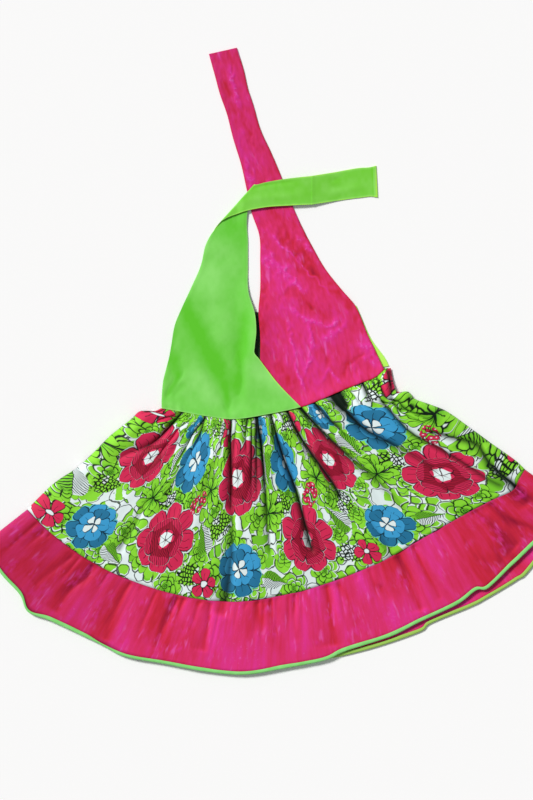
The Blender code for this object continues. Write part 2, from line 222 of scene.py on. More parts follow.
# Long gathers of the skirt and the band: lines on the laid dress. width is half the trough's width at
# its two ends, and depth the part of the cloth's height that it takes away there.
SKIRT_GATHERS = (
    Gather(((-111, -14), (-128, -34), (-149, -53), (-182, -67), (-205, -82)), (1.6, 3.2), (1.0, 0.0)),
    Gather(((-53, -22), (-54, -54), (-53, -96), (-54, -134)), (1.7, 2.8), (1.0, 0.4)),
    Gather(((-52, -128), (-51, -158), (-54, -196), (-60, -240), (-64, -262)), (2.4, 6.5), (0.35, 0.75)),
    Gather(((-22, -20), (-16, -66), (-12, -112), (-10, -148), (-6, -190)), (1.7, 2.6), (1.0, 0.4)),
    Gather(((-6, -16), (8, -65), (24, -107), (36, -152), (45, -186)), (1.8, 3.0), (0.9, 0.75)),
    Gather(((14, -13), (24, -34), (38, -57), (53, -78), (70, -102), (80, -122)), (1.9, 2.4), (1.0, 0.8)),
    Gather(((30, -9), (56, -38), (85, -65), (134, -108), (160, -138)), (2.2, 3.6), (1.0, 0.25)),
    Gather(((68, 9), (77, -5), (107, -35), (134, -50), (160, -64), (178, -74), (200, -90)),
           (3.2, 2.6), (1.0, 0.3)),
    Gather(((128, -2), (143, -20), (160, -38), (180, -50), (199, -60), (233, -81), (255, -96), (277, -106)),
           (1.7, 2.2), (0.75, 0.5)),
    Gather(((186, -38), (215, -46), (230, -49), (244, -55), (249, -65), (256, -76), (267, -87), (287, -103),
            (306, -128)), (1.8, 4.5), (0.6, 0.9)),
    Gather(((136, 34), (137, 18), (139, 4), (144, -6), (152, -14)), (1.3, 1.6), (0.8, 0.3)),
    Gather(((72, 15), (78, 4), (87, -10)), (6.0, 3.5), (1.0, 0.95)),
    Gather(((104, 23), (112, 2), (128, -16)), (1.6, 2.2), (0.9, 0.0)),
    Gather(((-84, -19), (-92, -46), (-108, -74)), (1.5, 2.4), (0.9, 0.0)),
    Gather(((-34, -21), (-36, -48), (-32, -78)), (1.4, 2.2), (0.9, 0.0)),
    Gather(((46, -3), (64, -24), (92, -40)), (1.6, 2.4), (0.9, 0.0)),
    Gather(((-152, -120), (-168, -150), (-190, -184)), (2.0, 4.5), (0.1, 0.5)),
    Gather(((100, -126), (124, -160), (140, -190)), (2.0, 4.5), (0.05, 0.45)),
)
BAND_GATHERS = (
    Gather(((-279, -159), (-303, -178)), (2.5, 5.0), (0.6, 0.1)),
    Gather(((-245, -188), (-272, -208), (-290, -222)), (3.0, 6.0), (0.5, 0.3)),
    Gather(((-219, -198), (-227, -213), (-248, -230), (-265, -256)), (2.6, 6.0), (0.8, 0.5)),
    Gather(((-173, -217), (-186, -239), (-199, -267), (-204, -290)), (2.4, 8.0), (0.8, 0.4)),
    Gather(((-118, -239), (-136, -275), (-144, -300)), (2.4, 7.0), (0.85, 0.2)),
    Gather(((-110, -239), (-117, -255)), (2.2, 3.0), (0.6, 0.0)),
    Gather(((-88, -240), (-95, -248)), (2.2, 3.0), (0.6, 0.0)),
    Gather(((-78, -245), (-81, -271), (-87, -302)), (2.2, 5.0), (0.8, 0.4)),
    Gather(((-21, -241), (-20, -280)), (1.8, 3.0), (0.8, 0.0)),
    Gather(((-6, -238), (-4, -273)), (1.8, 3.5), (0.7, 0.0)),
    Gather(((24, -230), (22, -262), (26, -290)), (1.8, 4.0), (0.6, 0.1)),
    Gather(((61, -222), (69, -271), (72, -296)), (3.0, 8.0), (0.7, 0.5)),
    Gather(((76, -222), (90, -241)), (2.0, 3.0), (0.6, 0.0)),
    Gather(((126, -224), (140, -241)), (2.4, 4.0), (0.5, 0.0)),
    Gather(((147, -189), (158, -206), (169, -228), (177, -253)), (2.6, 6.0), (0.8, 0.5)),
    Gather(((165, -174), (182, -210), (192, -225), (198, -240)), (1.8, 3.0), (0.8, 0.2)),
    Gather(((237, -131), (259, -149), (290, -177)), (3.5, 6.5), (0.6, 0.5)),
    Gather(((259, -126), (278, -142), (305, -153), (322, -162)), (2.4, 4.0), (0.8, 0.4)),
    Gather(((286, -104), (304, -116), (330, -128)), (3.0, 6.0), (0.7, 0.5)),
)
ACROSS_SEAM = (SKIRT_GATHERS[2], SKIRT_GATHERS[9])     # these two go on into the band
# Where threads of the gathered panel meet its two long edges: distances from their left ends
GRAIN = ((26, 37), (57, 154), (88, 269), (118, 328), (132, 383), (155, 466), (169, 529), (211, 590))
SOFT_SIDE = 2.2                # one wall of a long gather is this many times as wide as the other
GRAIN_BEND = 0.6               # under 1, the threads swing outwards early on their way down
SKIRT_PUFF = (
    (0.0, 1.6), (0.015, 3.6), (0.05, 8.6), (0.12, 12.5), (0.3, 13.0), (0.6, 10.0), (0.9, 6.5), (1.0, 5.0),
)
BAND_PUFF = ((0.0, 5.0), (0.5, 4.5), (0.93, 3.0), (1.0, 2.7))
# Short gathers: the pitch between them in mm, then their width, depth, and reach in parts of the way down
FINE_PITCH = (4.0, 22.0)
FINE_RANGES = ((0.9, 2.0), (0.2, 0.85), (0.12, 0.75))
BAND_PITCH = (4.0, 24.0)
BAND_RANGES = ((1.0, 3.4), (0.05, 0.32), (0.12, 1.1))
BACK_PITCH = (4.0, 10.0)
BACK_WIDTH = (0.8, 1.5)
BACK_REACH = (0.45, 1.4)
BACK_HEIGHT = (2.4, 6.5)

# ---------------------------------------------------------------- cut sizes, in metres
SKIRT_CUT = (0.72, 0.215)
BAND_CUT = (0.85, 0.092)
BINDING_CUT = (0.85, 0.0105)

# ---------------------------------------------------------------- how fine the cloth is made
SKIRT_GRID = (72, 650)         # rows, columns
ROW_SAMPLES = 1600
CROWDING_WINDOW = 190          # samples over which the threads keep their average distance
BAND_GRID = (44, 480)
BACK_SKIRT_GRID = (60, 320)
BACK_BAND_GRID = (24, 320)
BINDING_GRID = (13, 600)
BODICE_CELL = 1.2              # about, in mm
BACK_CELL = 3.0
EDGE_STEP = 0.3
CURVE_STEPS = 24
CREASE_STEPS = 14


# ================================================================ camera, light and floor

def make_camera():
    """Straight down on the dress, with the longer side of the picture 0.96 m long."""
    lens = 85.0
    sensor = 36.0
    picture_height = 0.96
    middle = (-0.0114, 0.0)
    camera = bpy.data.objects.new("camera", bpy.data.cameras.new("camera"))
    camera.data.lens = lens
    camera.data.sensor_width = sensor
    camera.location = (*middle, picture_height * lens / sensor)
    bpy.context.scene.collection.objects.link(camera)
    bpy.context.scene.camera = camera


def make_light():
    scene = bpy.context.scene
    scene.view_settings.view_transform = "Standard"
    world = bpy.data.worlds.new("studio")
    world.use_nodes = True
    background = world.node_tree.nodes["Background"]
    background.inputs["Color"].default_value = (0.97, 0.98, 1.0, 1.0)
    background.inputs["Strength"].default_value = 0.3
    scene.world = world
    light = bpy.data.lights.new("key_light", "SUN")
    light.energy = 3.15
    light.angle = math.radians(14.0)
    light.color = (1.0, 0.99, 0.97)
    lamp = bpy.data.objects.new("key_light", light)
    lamp.rotation_euler = (-Vector((-0.8, 0.75, 1.0))).to_track_quat("-Z", "Y").to_euler()
    scene.collection.objects.link(lamp)


def make_floor():
    size = 60.0
    bpy.ops.mesh.primitive_plane_add(size=size, location=(0.0, 0.0, -0.0004))
    floor = bpy.context.object
    floor.name = "floor"
    material = bpy.data.materials.new("floor_paper")
    material.use_nodes = True
    shader = material.node_tree.nodes["Principled BSDF"]
    shader.inputs["Base Color"].default_value = (0.985, 0.985, 0.99, 1.0)
    shader.inputs["Roughness"].default_value = 0.9
    floor.data.materials.append(material)


# ================================================================ curves and relief

def smoothstep(start, end, value):
    t = np.clip((value - start) / (end - start), 0.0, 1.0)
    return t * t * (3.0 - 2.0 * t)


def mix(a, b, share):
    return a + (b - a) * share


def bump(distance, width):
    """A soft rise: 1 in its middle, and almost 0 at twice its width."""
    return np.exp(-(distance / width) ** 2)


def smooth_curve(x, knots, values, inner_slopes):
    """A smooth curve through the values. inner_slopes gives its slopes at all knots but the two ends."""
    knots = np.asarray(knots, float)
    values = np.asarray(values, float)
    step = np.diff(knots)
    slope = np.diff(values) / step
    tangent = np.concatenate((slope[:1], inner_slopes(slope, step), slope[-1:]))
    k = np.clip(np.searchsorted(knots, x, side="right") - 1, 0, len(step) - 1)
    t = np.clip((x - knots[k]) / step[k], 0.0, 1.0)
    bend = step[k] * t * (1.0 - t) * (tangent[k] * (1.0 - t) - tangent[k + 1] * t)
    return mix(values[k], values[k + 1], smoothstep(0.0, 1.0, t)) + bend


def monotone(x, knots, values):
    """A smooth curve through the values that never swings past them."""
    def slopes(slope, step):
        return [3.0 * (r + s) / ((r + 2.0 * s) / a + (2.0 * r + s) / b) if a * b > 0.0 else 0.0
                for a, b, r, s in zip(slope, slope[1:], step, step[1:])]
    return smooth_curve(x, knots, values, slopes)


def smooth(x, knots, values):
    """A smooth curve through the values, with the slope at each knot that its neighbours give."""
    def slopes(slope, step):
        return (slope[:-1] * step[1:] + slope[1:] * step[:-1]) / (step[1:] + step[:-1])
    return smooth_curve(x, knots, values, slopes)


def fine_curve(points):
    """A Catmull-Rom curve through the points, and the distance along it at each of its own points."""
    p = np.array(points, float)
    p = np.vstack((2 * p[0] - p[1], p, 2 * p[-1] - p[-2]))
    t = np.linspace(0.0, 1.0, CURVE_STEPS, endpoint=False)[:, None]
    spans = [b + 0.5 * ((c - a) * t + (2 * a - 5 * b + 4 * c - d) * t ** 2
                        + (3 * b - a - 3 * c + d) * t ** 3)
             for a, b, c, d in zip(p, p[1:], p[2:], p[3:])]
    fine = np.vstack(spans + [p[-2:-1]])
    steps = np.linalg.norm(np.diff(fine, axis=0), axis=1)
    return fine, np.concatenate(([0.0], np.cumsum(steps)))


def curve(points, fractions):
    """Points at the given fractions of a curve's length: an array with one more axis than fractions."""
    fine, reach = fine_curve(points)
    target = np.asarray(fractions, float) * reach[-1]
    return np.stack([np.interp(target, reach, fine[:, k]) for k in range(2)], axis=-1)


def curve_length(points):
    return fine_curve(points)[1][-1]


def height_of_curve(points, x):
    fine, _ = fine_curve(points)
    return np.interp(x, fine[:, 0], fine[:, 1])


def noise(x, y, seed):
    """Smooth random heights from -1 to 1 that change over about one unit."""
    size = 61
    lattice = np.random.default_rng(seed).uniform(-1.0, 1.0, (size, size))
    column = np.floor(x).astype(int)
    row = np.floor(y).astype(int)
    across = smoothstep(0.0, 1.0, x - column)
    up = smoothstep(0.0, 1.0, y - row)

    def corner(i, j):
        return lattice[(row + j) % size, (column + i) % size]

    return mix(mix(corner(0, 0), corner(1, 0), across), mix(corner(0, 1), corner(1, 1), across), up)


def from_line(x, y, points):
    """Distance of each point from a line, above zero on its left, and where along it, from 0 to 1."""
    line = curve(points, np.linspace(0.0, 1.0, CREASE_STEPS))
    nearest = np.full_like(x, np.inf)
    along = np.zeros_like(x)
    left = np.ones_like(x)
    for k, (a, b) in enumerate(zip(line, line[1:])):
        reach = np.hypot(*(b - a))
        part = np.clip(((x - a[0]) * (b[0] - a[0]) + (y - a[1]) * (b[1] - a[1])) / reach ** 2, 0.0, 1.0)
        away = np.hypot(x - a[0] - part * (b[0] - a[0]), y - a[1] - part * (b[1] - a[1]))
        along = np.where(away < nearest, (k + part) / (CREASE_STEPS - 1), along)
        turn = (b[0] - a[0]) * (y - a[1]) - (b[1] - a[1]) * (x - a[0])
        left = np.where(away < nearest, np.sign(turn), left)
        nearest = np.minimum(nearest, away)
    return nearest * left, along


def creased(x, y, creases):
    """Height that the creases add at each point. They fade out at both ends."""
    total = np.zeros_like(x)
    for crease in creases:
        nearest, along = from_line(x, y, crease.points)
        fade = smoothstep(0.0, 0.35, along) * smoothstep(0.0, 0.35, 1.0 - along)
        total += crease.height * fade * bump(nearest, crease.width)
    return total


# ================================================================ cloth meshes

def make_cloth(name, points, cut, material, relief=None, thickness=CLOTH, shade=0.0):
    """A thin wall of cloth on a grid of points, which go up the dress and from left to right.

    cut holds each point's place on the flat cut piece, in metres. relief is about 0 in the folds and
    1 on their crests, and sets the tone: painted shade in the folds, painted highlights on crests. shade,
    from 0 to 1, brings in the material's second colour: painted shade on the pink band, a darker pink
    towards the strap's top on the pink bodice, and the reverse side's tone on the lime cloth.
    """
    rows, columns = points.shape[:2]
    index = np.arange(rows * columns).reshape(rows, columns)
    corners = (index[:-1, :-1], index[:-1, 1:], index[1:, 1:], index[1:, :-1])
    faces = np.stack(corners, axis=-1).reshape(-1, 4)
    mesh = bpy.data.meshes.new(name)
    mesh.from_pydata((points.reshape(-1, 3) * MM).tolist(), [], faces.tolist())
    mesh.uv_layers.new(name="cut").uv.foreach_set("vector", cut.reshape(-1, 2)[faces.ravel()].ravel())
    for tone, values in (("relief", 1.0 if relief is None else relief), ("shade", shade)):
        values = np.broadcast_to(values, (rows, columns)).ravel()
        mesh.attributes.new(tone, "FLOAT", "POINT").data.foreach_set("value", values)
    mesh.materials.append(material)
    mesh.shade_smooth()
    piece = bpy.data.objects.new(name, mesh)
    bpy.context.scene.collection.objects.link(piece)
    wall = piece.modifiers.new("Cloth", "SOLIDIFY")
    wall.thickness = thickness * MM
    wall.offset = -1.0
    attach(piece, "root")
    return piece


def stepped(length, cell):
    """Even steps from 0 to 1, about cell long, with one narrow step at each end for a crisp edge."""
    narrow = EDGE_STEP / length
    return np.concatenate(([0.0], np.linspace(narrow, 1.0 - narrow, int(length / cell) + 2), [1.0]))


def section_grid(sections, cell, hem=None):
    """Points (x, y) of a lofted piece, their places on the cut piece, and their shares across it.

    On the cut piece x is measured along a row and y up the middle. A hem curve bends the first
    section's row to the seam, and the rows above it less and less.
    """
    table = np.array(sections, float)
    middle = (table[:, 0:2] + table[:, 2:4]) / 2
    knots = np.concatenate(([0.0], np.cumsum(np.linalg.norm(np.diff(middle, axis=0), axis=1))))
    widths = np.linalg.norm(table[:, 2:4] - table[:, 0:2], axis=1)
    up = stepped(knots[-1], cell) * knots[-1]
    left_x, left_y, right_x, right_y, sag = (smooth(up, knots, table[:, k])[:, None] for k in range(5))
    across = stepped(widths.max(), cell)[None, :]
    x = mix(left_x, right_x, across)
    y = mix(left_y, right_y, across) - 4.0 * sag * across * (1.0 - across)
    if hem:
        gap = height_of_curve(hem, x[0]) - y[0]
        near = np.clip(1.0 - up / knots[1], 0.0, 1.0)[:, None]
        y = y + gap[None, :] * near
    width = np.hypot(right_x - left_x, right_y - left_y)
    cut = np.stack((((across - 0.5) * width) * MM, np.broadcast_to(up[:, None], x.shape) * MM), axis=-1)
    return x, y, cut, across * np.ones_like(x)


def from_edges(across, x, y):
    """Distance in mm to the nearer side edge of a grid's rows."""
    width = np.hypot(x[:, -1:] - x[:, :1], y[:, -1:] - y[:, :1])
    return np.minimum(across, 1.0 - across) * width


def edge_ridge(distance, height=0.2, width=3.0):
    """The turned-in edge of a finished side: rounded over at the very edge, a little thick behind it."""
    return height * bump(distance - width, width) - 0.25 * bump(distance, 0.5)


def edge_light_and_shade(distance, width=1.3):
    """1 at the very edge of a piece, for a painted highlight along the lime cloth's edges and painted shade
    along the pink's.
    """
    return bump(distance, width)


# ================================================================ bodice

def on_back_bodice(y):
    """1 where a front lies on the back bodice, 0 where it lies on the floor."""
    return 1.0 - smoothstep(*COME_DOWN, y)


def over_back_bodice(x, y, z):
    """Points of a front, kept above what it lies on."""
    return np.stack((x, y, np.maximum(z, CLOTH + LAYER * on_back_bodice(y))), axis=-1)


def on_pink_strap(x, y):
    return smoothstep(*STRAP_CLIMB_X, x) * smoothstep(*STRAP_CLIMB_Y, y)


def hem_lift(x, y):
    """The seam allowance and the gathers under it lift a bodice hem, and pucker it."""
    above = y - height_of_curve(WAIST_FRONT, x)
    pucker = 0.35 * noise(x / 5.0, above / 16.0, 11) * bump(above, 11.0)
    return 1.9 * bump(above, 12.0) + pucker - 0.3 * bump(above, 0.6)


def from_hem(x, y):
    return np.abs(y - height_of_curve(WAIST_FRONT, x))


def keyhole_lip(x, y):
    """Both fronts stand up beside the lower end of the keyhole."""
    rise, fall = KEYHOLE_LIP
    return 3.4 * bump(x - KEYHOLE_X, 15.0) * smoothstep(*rise, y) * (1.0 - smoothstep(*fall, y))


def pillow(x, y):
    """Slow unevenness of cloth that lies loose."""
    turned = 0.8 * x + 0.6 * y
    return (0.7 * (0.5 + 0.5 * noise(turned / 46.0 + 7.3, (0.8 * y - 0.6 * x) / 38.0 + 3.1, 4))
            + 0.12 * noise(turned / 13.0, (y - 0.4 * x) / 17.0, 5))


def crumpled(x, y, creases):
    """Creases of a crisp cloth: their lines wander, and their heights come and go."""
    wander_x = 2.4 * noise(x / 7.0, y / 8.0, 24) + 0.9 * noise(x / 3.2, y / 3.6, 25)
    wander_y = 2.4 * noise(x / 8.0 + 9.0, y / 7.0, 26) + 0.9 * noise(x / 3.4, y / 3.2 + 5.0, 27)
    return creased(x + wander_x, y + wander_y, creases) * (0.85 + 0.6 * noise(x / 5.0, y / 5.0, 28))


def make_pink_front(material):
    x, y, cut, across = section_grid(PINK_FRONT, BODICE_CELL, WAIST_FRONT)
    folds = crumpled(x, y, PINK_CREASES)
    crinkle = 0.16 * noise(x / 4.0 + y / 9.0, y / 7.0, 21) + 0.12 * noise(x / 2.6, y / 6.0 + x / 9.0, 22)
    z = (CLOTH + LAYER * on_back_bodice(y) + hem_lift(x, y) + keyhole_lip(x, y) + pillow(x, y)
         + 0.6 * folds + crinkle + edge_ridge(from_edges(across, x, y)))
    points = over_back_bodice(x, y, z)
    # The tone paints highlights on crests and crinkles, and shade in troughs and along the edges.
    edge = edge_light_and_shade(np.minimum(from_edges(across, x, y), from_hem(x, y)))
    relief = 0.5 + 0.34 * folds + 0.22 * np.maximum(folds, 0.0) + 0.9 * crinkle - 0.5 * edge
    # The cloth is darker towards the top of the strap.
    shade = 0.03 + 0.14 * smoothstep(190.0, 320.0, y)
    return make_cloth("bodice_front_pink_cloth", points, cut, material, relief, CLOTH, shade)


def turn_over(x, y):
    """Where a point of the flat strap goes as the strap turns over its crease, and its height there."""
    along = (CREASE_END - CREASE_START) / np.linalg.norm(CREASE_END - CREASE_START)
    outward = np.array((-along[1], along[0]))
    beyond = (x - CREASE_START[0]) * outward[0] + (y - CREASE_START[1]) * outward[1]
    arc = math.pi * TURN_RADIUS
    angle = np.clip(beyond / TURN_RADIUS, 0.0, math.pi)
    moved = np.where(beyond < arc, TURN_RADIUS * np.sin(angle) - beyond, arc - 2.0 * beyond)
    turned_x = x + outward[0] * moved
    turned_y = y + outward[1] * moved
    height = CLOTH + TURN_RADIUS * (1.0 - np.cos(angle))
    return turned_x, turned_y, height


def strap_height(x, y, height):
    """Height of the turned strap: over its own lower part and the pink strap, then down to the floor."""
    drop = smoothstep(*STRAP_DROP, x)
    height = height + LAYER * on_pink_strap(x, y)
    creases = creased(x, y, STRAP_CREASES) * smoothstep(-60.0, -30.0, x)
    return np.maximum(height * (1.0 - drop) + creases, 0.0)


def strap_relief(x, y, from_edge):
    """Tone of the turned strap: its creases are painted lighter and darker, and painted highlights run
    along its edges.
    """
    slow = 0.2 * noise(x / 12.0, y / 9.0, 71) + 0.15 * noise(x / 4.0, y / 6.0, 72)
    return 0.42 + 0.25 * creased(x, y, STRAP_CREASES) + slow + 1.1 * edge_light_and_shade(from_edge, 1.6)


def turned_strap(across):
    """The green front's strap, turned over, on the front's columns: points, cut places and tone."""
    sections = GREEN_FRONT[-1:] + GREEN_STRAP_TURNED_OVER
    x, y, cut, own_across = section_grid(sections, BODICE_CELL)
    x, y = (np.stack([np.interp(across[0], own_across[0], row) for row in grid]) for grid in (x, y))
    turned_x, turned_y, height = turn_over(x, y)
    points = np.stack((turned_x, turned_y, strap_height(turned_x, turned_y, height)), axis=-1)
    cut_x = (across - 0.5) * np.hypot(x[:, -1:] - x[:, :1], y[:, -1:] - y[:, :1]) * MM
    cut = np.stack((cut_x, cut[:, :1, 1] * np.ones_like(cut_x)), axis=-1)
    return points, cut, strap_relief(turned_x, turned_y, from_edges(across, x, y))


def make_green_front(material):
    """The front in one with its strap. The first row of the strap is the front's own last one."""
    x, y, cut, across = section_grid(GREEN_FRONT, BODICE_CELL, WAIST_FRONT)
    wrap = smoothstep(*WRAP, x)
    beside = from_edges(across, x, y)
    folds = creased(x, y, GREEN_CREASES)
    z = (CLOTH + LAYER * (on_back_bodice(y) * (1.0 + wrap) + on_pink_strap(x, y)) + hem_lift(x, y)
         + keyhole_lip(x, y) + (pillow(x + 90.0, y) + folds) * (1.0 - smoothstep(*BODICE_TOP, y))
         + edge_ridge(beside))
    body = over_back_bodice(x, y, z)
    under_strap = smoothstep(*UNDER_STRAP, y + 0.5 * (x + 60.0))
    edge_highlight = np.maximum(edge_light_and_shade(beside) * smoothstep(-80.0, -50.0, x), edge_light_and_shade(from_hem(x, y)))
    mottled = 0.07 * noise(x / 7.0, y / 9.0, 73) + 0.05 * noise(x / 3.0, y / 4.0, 74)
    # The tone paints shade in the creases and below the turned strap, and highlights on the ridges and
    # along the edges.
    tone = 0.5 + 0.37 * folds - 0.3 * under_strap + 0.75 * edge_highlight + mottled

    strap, strap_place, strap_tone = turned_strap(across[:1])
    points = np.vstack((body, strap[1:]))
    cut = np.vstack((cut, (strap_place + (0.0, cut[-1, 0, 1]))[1:]))
    relief = np.vstack((tone, strap_tone[1:]))
    reverse = np.vstack((np.zeros_like(tone), np.ones_like(strap_tone[1:])))
    return make_cloth("bodice_front_green_cloth", points, cut, material, relief, CLOTH, reverse)


def make_strap_end(material):
    """The sewn-on end of the strap. It laps over the strap's own end, and its far end is hemmed."""
    x, y, cut, across = section_grid(GREEN_STRAP_END, BODICE_CELL)
    turned_x, turned_y, height = turn_over(x, y)
    from_seam = cut[..., 1] / MM
    from_end = from_seam.max() - from_seam
    lap = 0.35 * (1.0 - smoothstep(0.0, 5.0, from_seam))
    hem = 0.3 * bump(from_end - 2.4, 1.6)
    z = strap_height(turned_x, turned_y, height) + lap + hem
    points = np.stack((turned_x, turned_y, z), axis=-1)
    stitched = bump(from_end - 4.6, 0.8)
    edge = np.minimum(from_edges(across, x, y), from_end)
    relief = strap_relief(turned_x, turned_y, edge) + 0.5 * (from_end < 4.0) - 0.5 * stitched
    return make_cloth("strap_extension_green_cloth", points, cut, material, relief, CLOTH, 1.0)


def make_back_bodice(material):
    x, y, cut, _ = section_grid(BODICE_BACK, BACK_CELL, WAIST_BACK)
    points = np.stack((x, y, np.full_like(x, CLOTH)), axis=-1)
    # Painted light brightens the back bodice right of the keyhole, where it shows beside the pink front;
    # painted shade turns it near black to the left, as seen in the keyhole.
    relief = 1.6 - 3.4 * (1.0 - smoothstep(-14.0, 6.0, x)) * smoothstep(30.0, 56.0, y)
    return make_cloth("bodice_back_cloth", points, cut, material, relief)


# ================================================================ skirt

WAIST_LENGTH = curve_length(WAIST_FRONT)
SEAM_LENGTH = curve_length(SEAM_FRONT)


def seam_share(waist_share):
    """Where a thread that leaves the waist at waist_share of its length meets the band seam."""
    waists = [0.0] + [waist / WAIST_LENGTH for waist, _ in GRAIN] + [1.0]
    seams = [0.0] + [seam / SEAM_LENGTH for _, seam in GRAIN] + [1.0]
    return monotone(waist_share, waists, seams)


def short_gathers(seed, margin, length, pitch, *ranges):
    """Short gathers along a seam, uneven in place and in a draw from each of the ranges."""
    random = np.random.default_rng(seed)
    place = margin
    while place < length - margin:
        yield place, *(random.uniform(*limits) for limits in ranges)
        place += random.uniform(*pitch)


def slit(distance, width):
    """Cross-section of a gather's trough: 1 at its narrow bottom, 0 beside it."""
    return np.exp(-(np.abs(distance) / width) ** 1.35)


def thread_share(waist_share, down):
    """Where a thread that leaves the waist at waist_share crosses a row."""
    return mix(waist_share, seam_share(waist_share), down ** GRAIN_BEND)


def left_by_fine(share, down):
    """What the short gathers leave of the cloth's height."""
    length = mix(WAIST_LENGTH, SEAM_LENGTH, down)
    left = np.ones(share.shape)
    for place, width, depth, reach in short_gathers(8, 4.0, WAIST_LENGTH, FINE_PITCH, *FINE_RANGES):
        away = (share - thread_share(place / WAIST_LENGTH, down)) * length
        reach = reach ** 1.5
        depth = depth * (1.0 - smoothstep(0.25 * reach, reach, down))
        left = left * (1.0 - depth * slit(away, width * (1.0 + 3.0 * down)))
    return left


def left_by_gathers(x, y, gathers):
    """What the long gathers leave of the cloth's height, from 1 on a crest to 0 in a deep trough."""
    left = np.ones_like(x)
    for gather in gathers:
        away, along = from_line(x, y, gather.points)
        width = mix(*gather.width, along) * np.where(away > 0.0, 1.0, SOFT_SIDE)
        depth = mix(*gather.depth, along) * smoothstep(0.0, 0.06, 1.0 - along)
        left = left * (1.0 - depth * slit(away, width))
    return left


def rounded_side(share, length):
    """Quarter-round fall at both side edges."""
    t = np.clip(np.minimum(share, 1.0 - share) * length / EDGE_ROLL, 0.0, 1.0)
    return np.sqrt(1.0 - (1.0 - t) ** 2)


def averaged(rows, window):
    """Each row's running average over a number of samples."""
    padded = np.pad(rows, ((0, 0), (window // 2, window - window // 2 - 1)), mode="edge")
    return np.stack([np.convolve(row, np.full(window, 1.0 / window), "valid") for row in padded])


def resampled(places, shares, rows):
    """Values given at each row's shares, read at other places along it."""
    return np.stack([np.interp(there, share, row) for there, share, row in zip(places, shares, rows)])


def strip_cut(share, up, size):
    """Places on a rectangular piece of the given size in metres: share along it and up across it."""
    return np.stack(np.broadcast_arrays(share[None] * size[0], up * size[1]), axis=-1)


def even_grid(grid):
    """Even shares across a panel's columns, and down its rows, which start at its lower edge."""
    rows, columns = grid
    return np.linspace(0.0, 1.0, columns), np.linspace(1.0, 0.0, rows)[:, None]


def between_edges(upper, lower, down):
    """Rows of points that pass from a panel's upper edge into its lower one."""
    return mix(upper[None], lower[None], down[..., None])


def pull_sides(points, share, down, inset):
    """Moves the ends of each row out to the skirt's side edges, and the points between by less."""
    left = curve(LEFT_SIDE, down[:, 0]) + (inset, 0.0) - points[:, 0]
    right = curve(RIGHT_SIDE, down[:, 0]) - (inset, 0.0) - points[:, -1]
    points = points + left[:, None] * ((1.0 - share) ** SIDE_BULGE_POWER)[..., None]
    return points + right[:, None] * (share ** SIDE_BULGE_POWER)[..., None]


def front_skirt_grid():
    """Points of the gathered panel, their places on the cut piece, and how far they stand out.

    The height along each row is worked out first. The threads are then laid along it: cloth doesn't
    stretch, so seen from above they lie close together on the steep walls of the gathers.
    """
    seam, down = even_grid(SKIRT_GRID)
    down = down ** 1.15
    even = np.linspace(0.0, 1.0, ROW_SAMPLES)
    share = np.broadcast_to(even, (len(down), ROW_SAMPLES))
    flat = between_edges(curve(WAIST_FRONT, even), curve(SEAM_FRONT, even), down)
    flat = pull_sides(flat, share, down, 0.0)
    length = mix(WAIST_LENGTH, SEAM_LENGTH, down)
    puff = monotone(down, *zip(*SKIRT_PUFF))
    relief = left_by_fine(share, down) * left_by_gathers(flat[..., 0], flat[..., 1], SKIRT_GATHERS)
    uneven = 1.0 + 0.16 * noise(share * 26.0, down * 3.0, 31) + 0.07 * noise(share * 60.0, down * 5.0, 32)
    rise = puff * relief * uneven * rounded_side(share, length)

    step = np.linalg.norm(np.gradient(flat, axis=1), axis=-1)
    steep = np.hypot(1.0, np.gradient(rise, axis=1) / step)
    crowding = steep / averaged(steep, CROWDING_WINDOW)
    reach = np.cumsum(crowding, axis=1) - crowding[:, :1]
    reach = reach / reach[:, -1:]
    waist = np.interp(seam, seam_share(even), even)
    threads = resampled(thread_share(waist, down), reach, share)
    fields = (flat[..., 0], flat[..., 1], rise, relief)
    x, y, rise, relief = (resampled(threads, share, field) for field in fields)

    # The sides of steep gathers lean out over their troughs.
    flat = np.dstack((x, y))
    z = LAYER + CLOTH + rise
    step = np.linalg.norm(np.gradient(flat, axis=1), axis=-1)
    slope = np.gradient(z, axis=1) / np.maximum(step, 0.05)
    lean = -0.9 * np.tanh(slope) * (1.0 - 0.6 * down)
    sideways = np.gradient(flat, axis=1) / np.maximum(step, 0.05)[..., None]
    flat = flat + sideways * lean[..., None]
    points = np.dstack((flat, z))
    return points, strip_cut(seam, 1.0 - down, SKIRT_CUT), relief


def band_height(flat, share, down):
    """Height of the front band's upper face over the back band, and what the gathers leave of it."""
    x, y = flat[..., 0], flat[..., 1]
    left = left_by_gathers(x, y, ACROSS_SEAM)
    start = smoothstep(0.0, 0.05, down)
    left = left * mix(1.0, left_by_gathers(x, y, BAND_GATHERS), start)
    for place, width, depth, reach in short_gathers(15, 4.0, SEAM_LENGTH, BAND_PITCH, *BAND_RANGES):
        depth = depth * start * (1.0 - smoothstep(0.4 * reach, reach, down))
        left = left * (1.0 - depth * slit(share * SEAM_LENGTH - place, width))
    slant = share + 0.006 * noise(share * 20.0, down * 2.0, 44)
    uneven = 1.0 + 0.12 * noise(slant * 24.0, down * 1.3, 41) + 0.05 * noise(slant * 80.0, down * 3.0, 42)
    puff = monotone(down, *zip(*BAND_PUFF))
    return puff * mix(1.0, left, 0.72) * uneven * rounded_side(share, SEAM_LENGTH), left


def inner_hem(seam, hem, width=BINDING_WIDTH):
    """The hem's edge without the outer part of its binding."""
    away = seam - hem
    return hem + away / np.linalg.norm(away, axis=-1, keepdims=True) * width


def band_grid(seam_curve, hem_curve, grid, inset):
    """Shares across and down a hem band, and its points, from the seam to just inside the hem."""
    share, down = even_grid(grid)
    seam = curve(seam_curve, share)
    edge = inner_hem(seam, curve(hem_curve, share), inset)
    return share, down, between_edges(seam, edge, down)


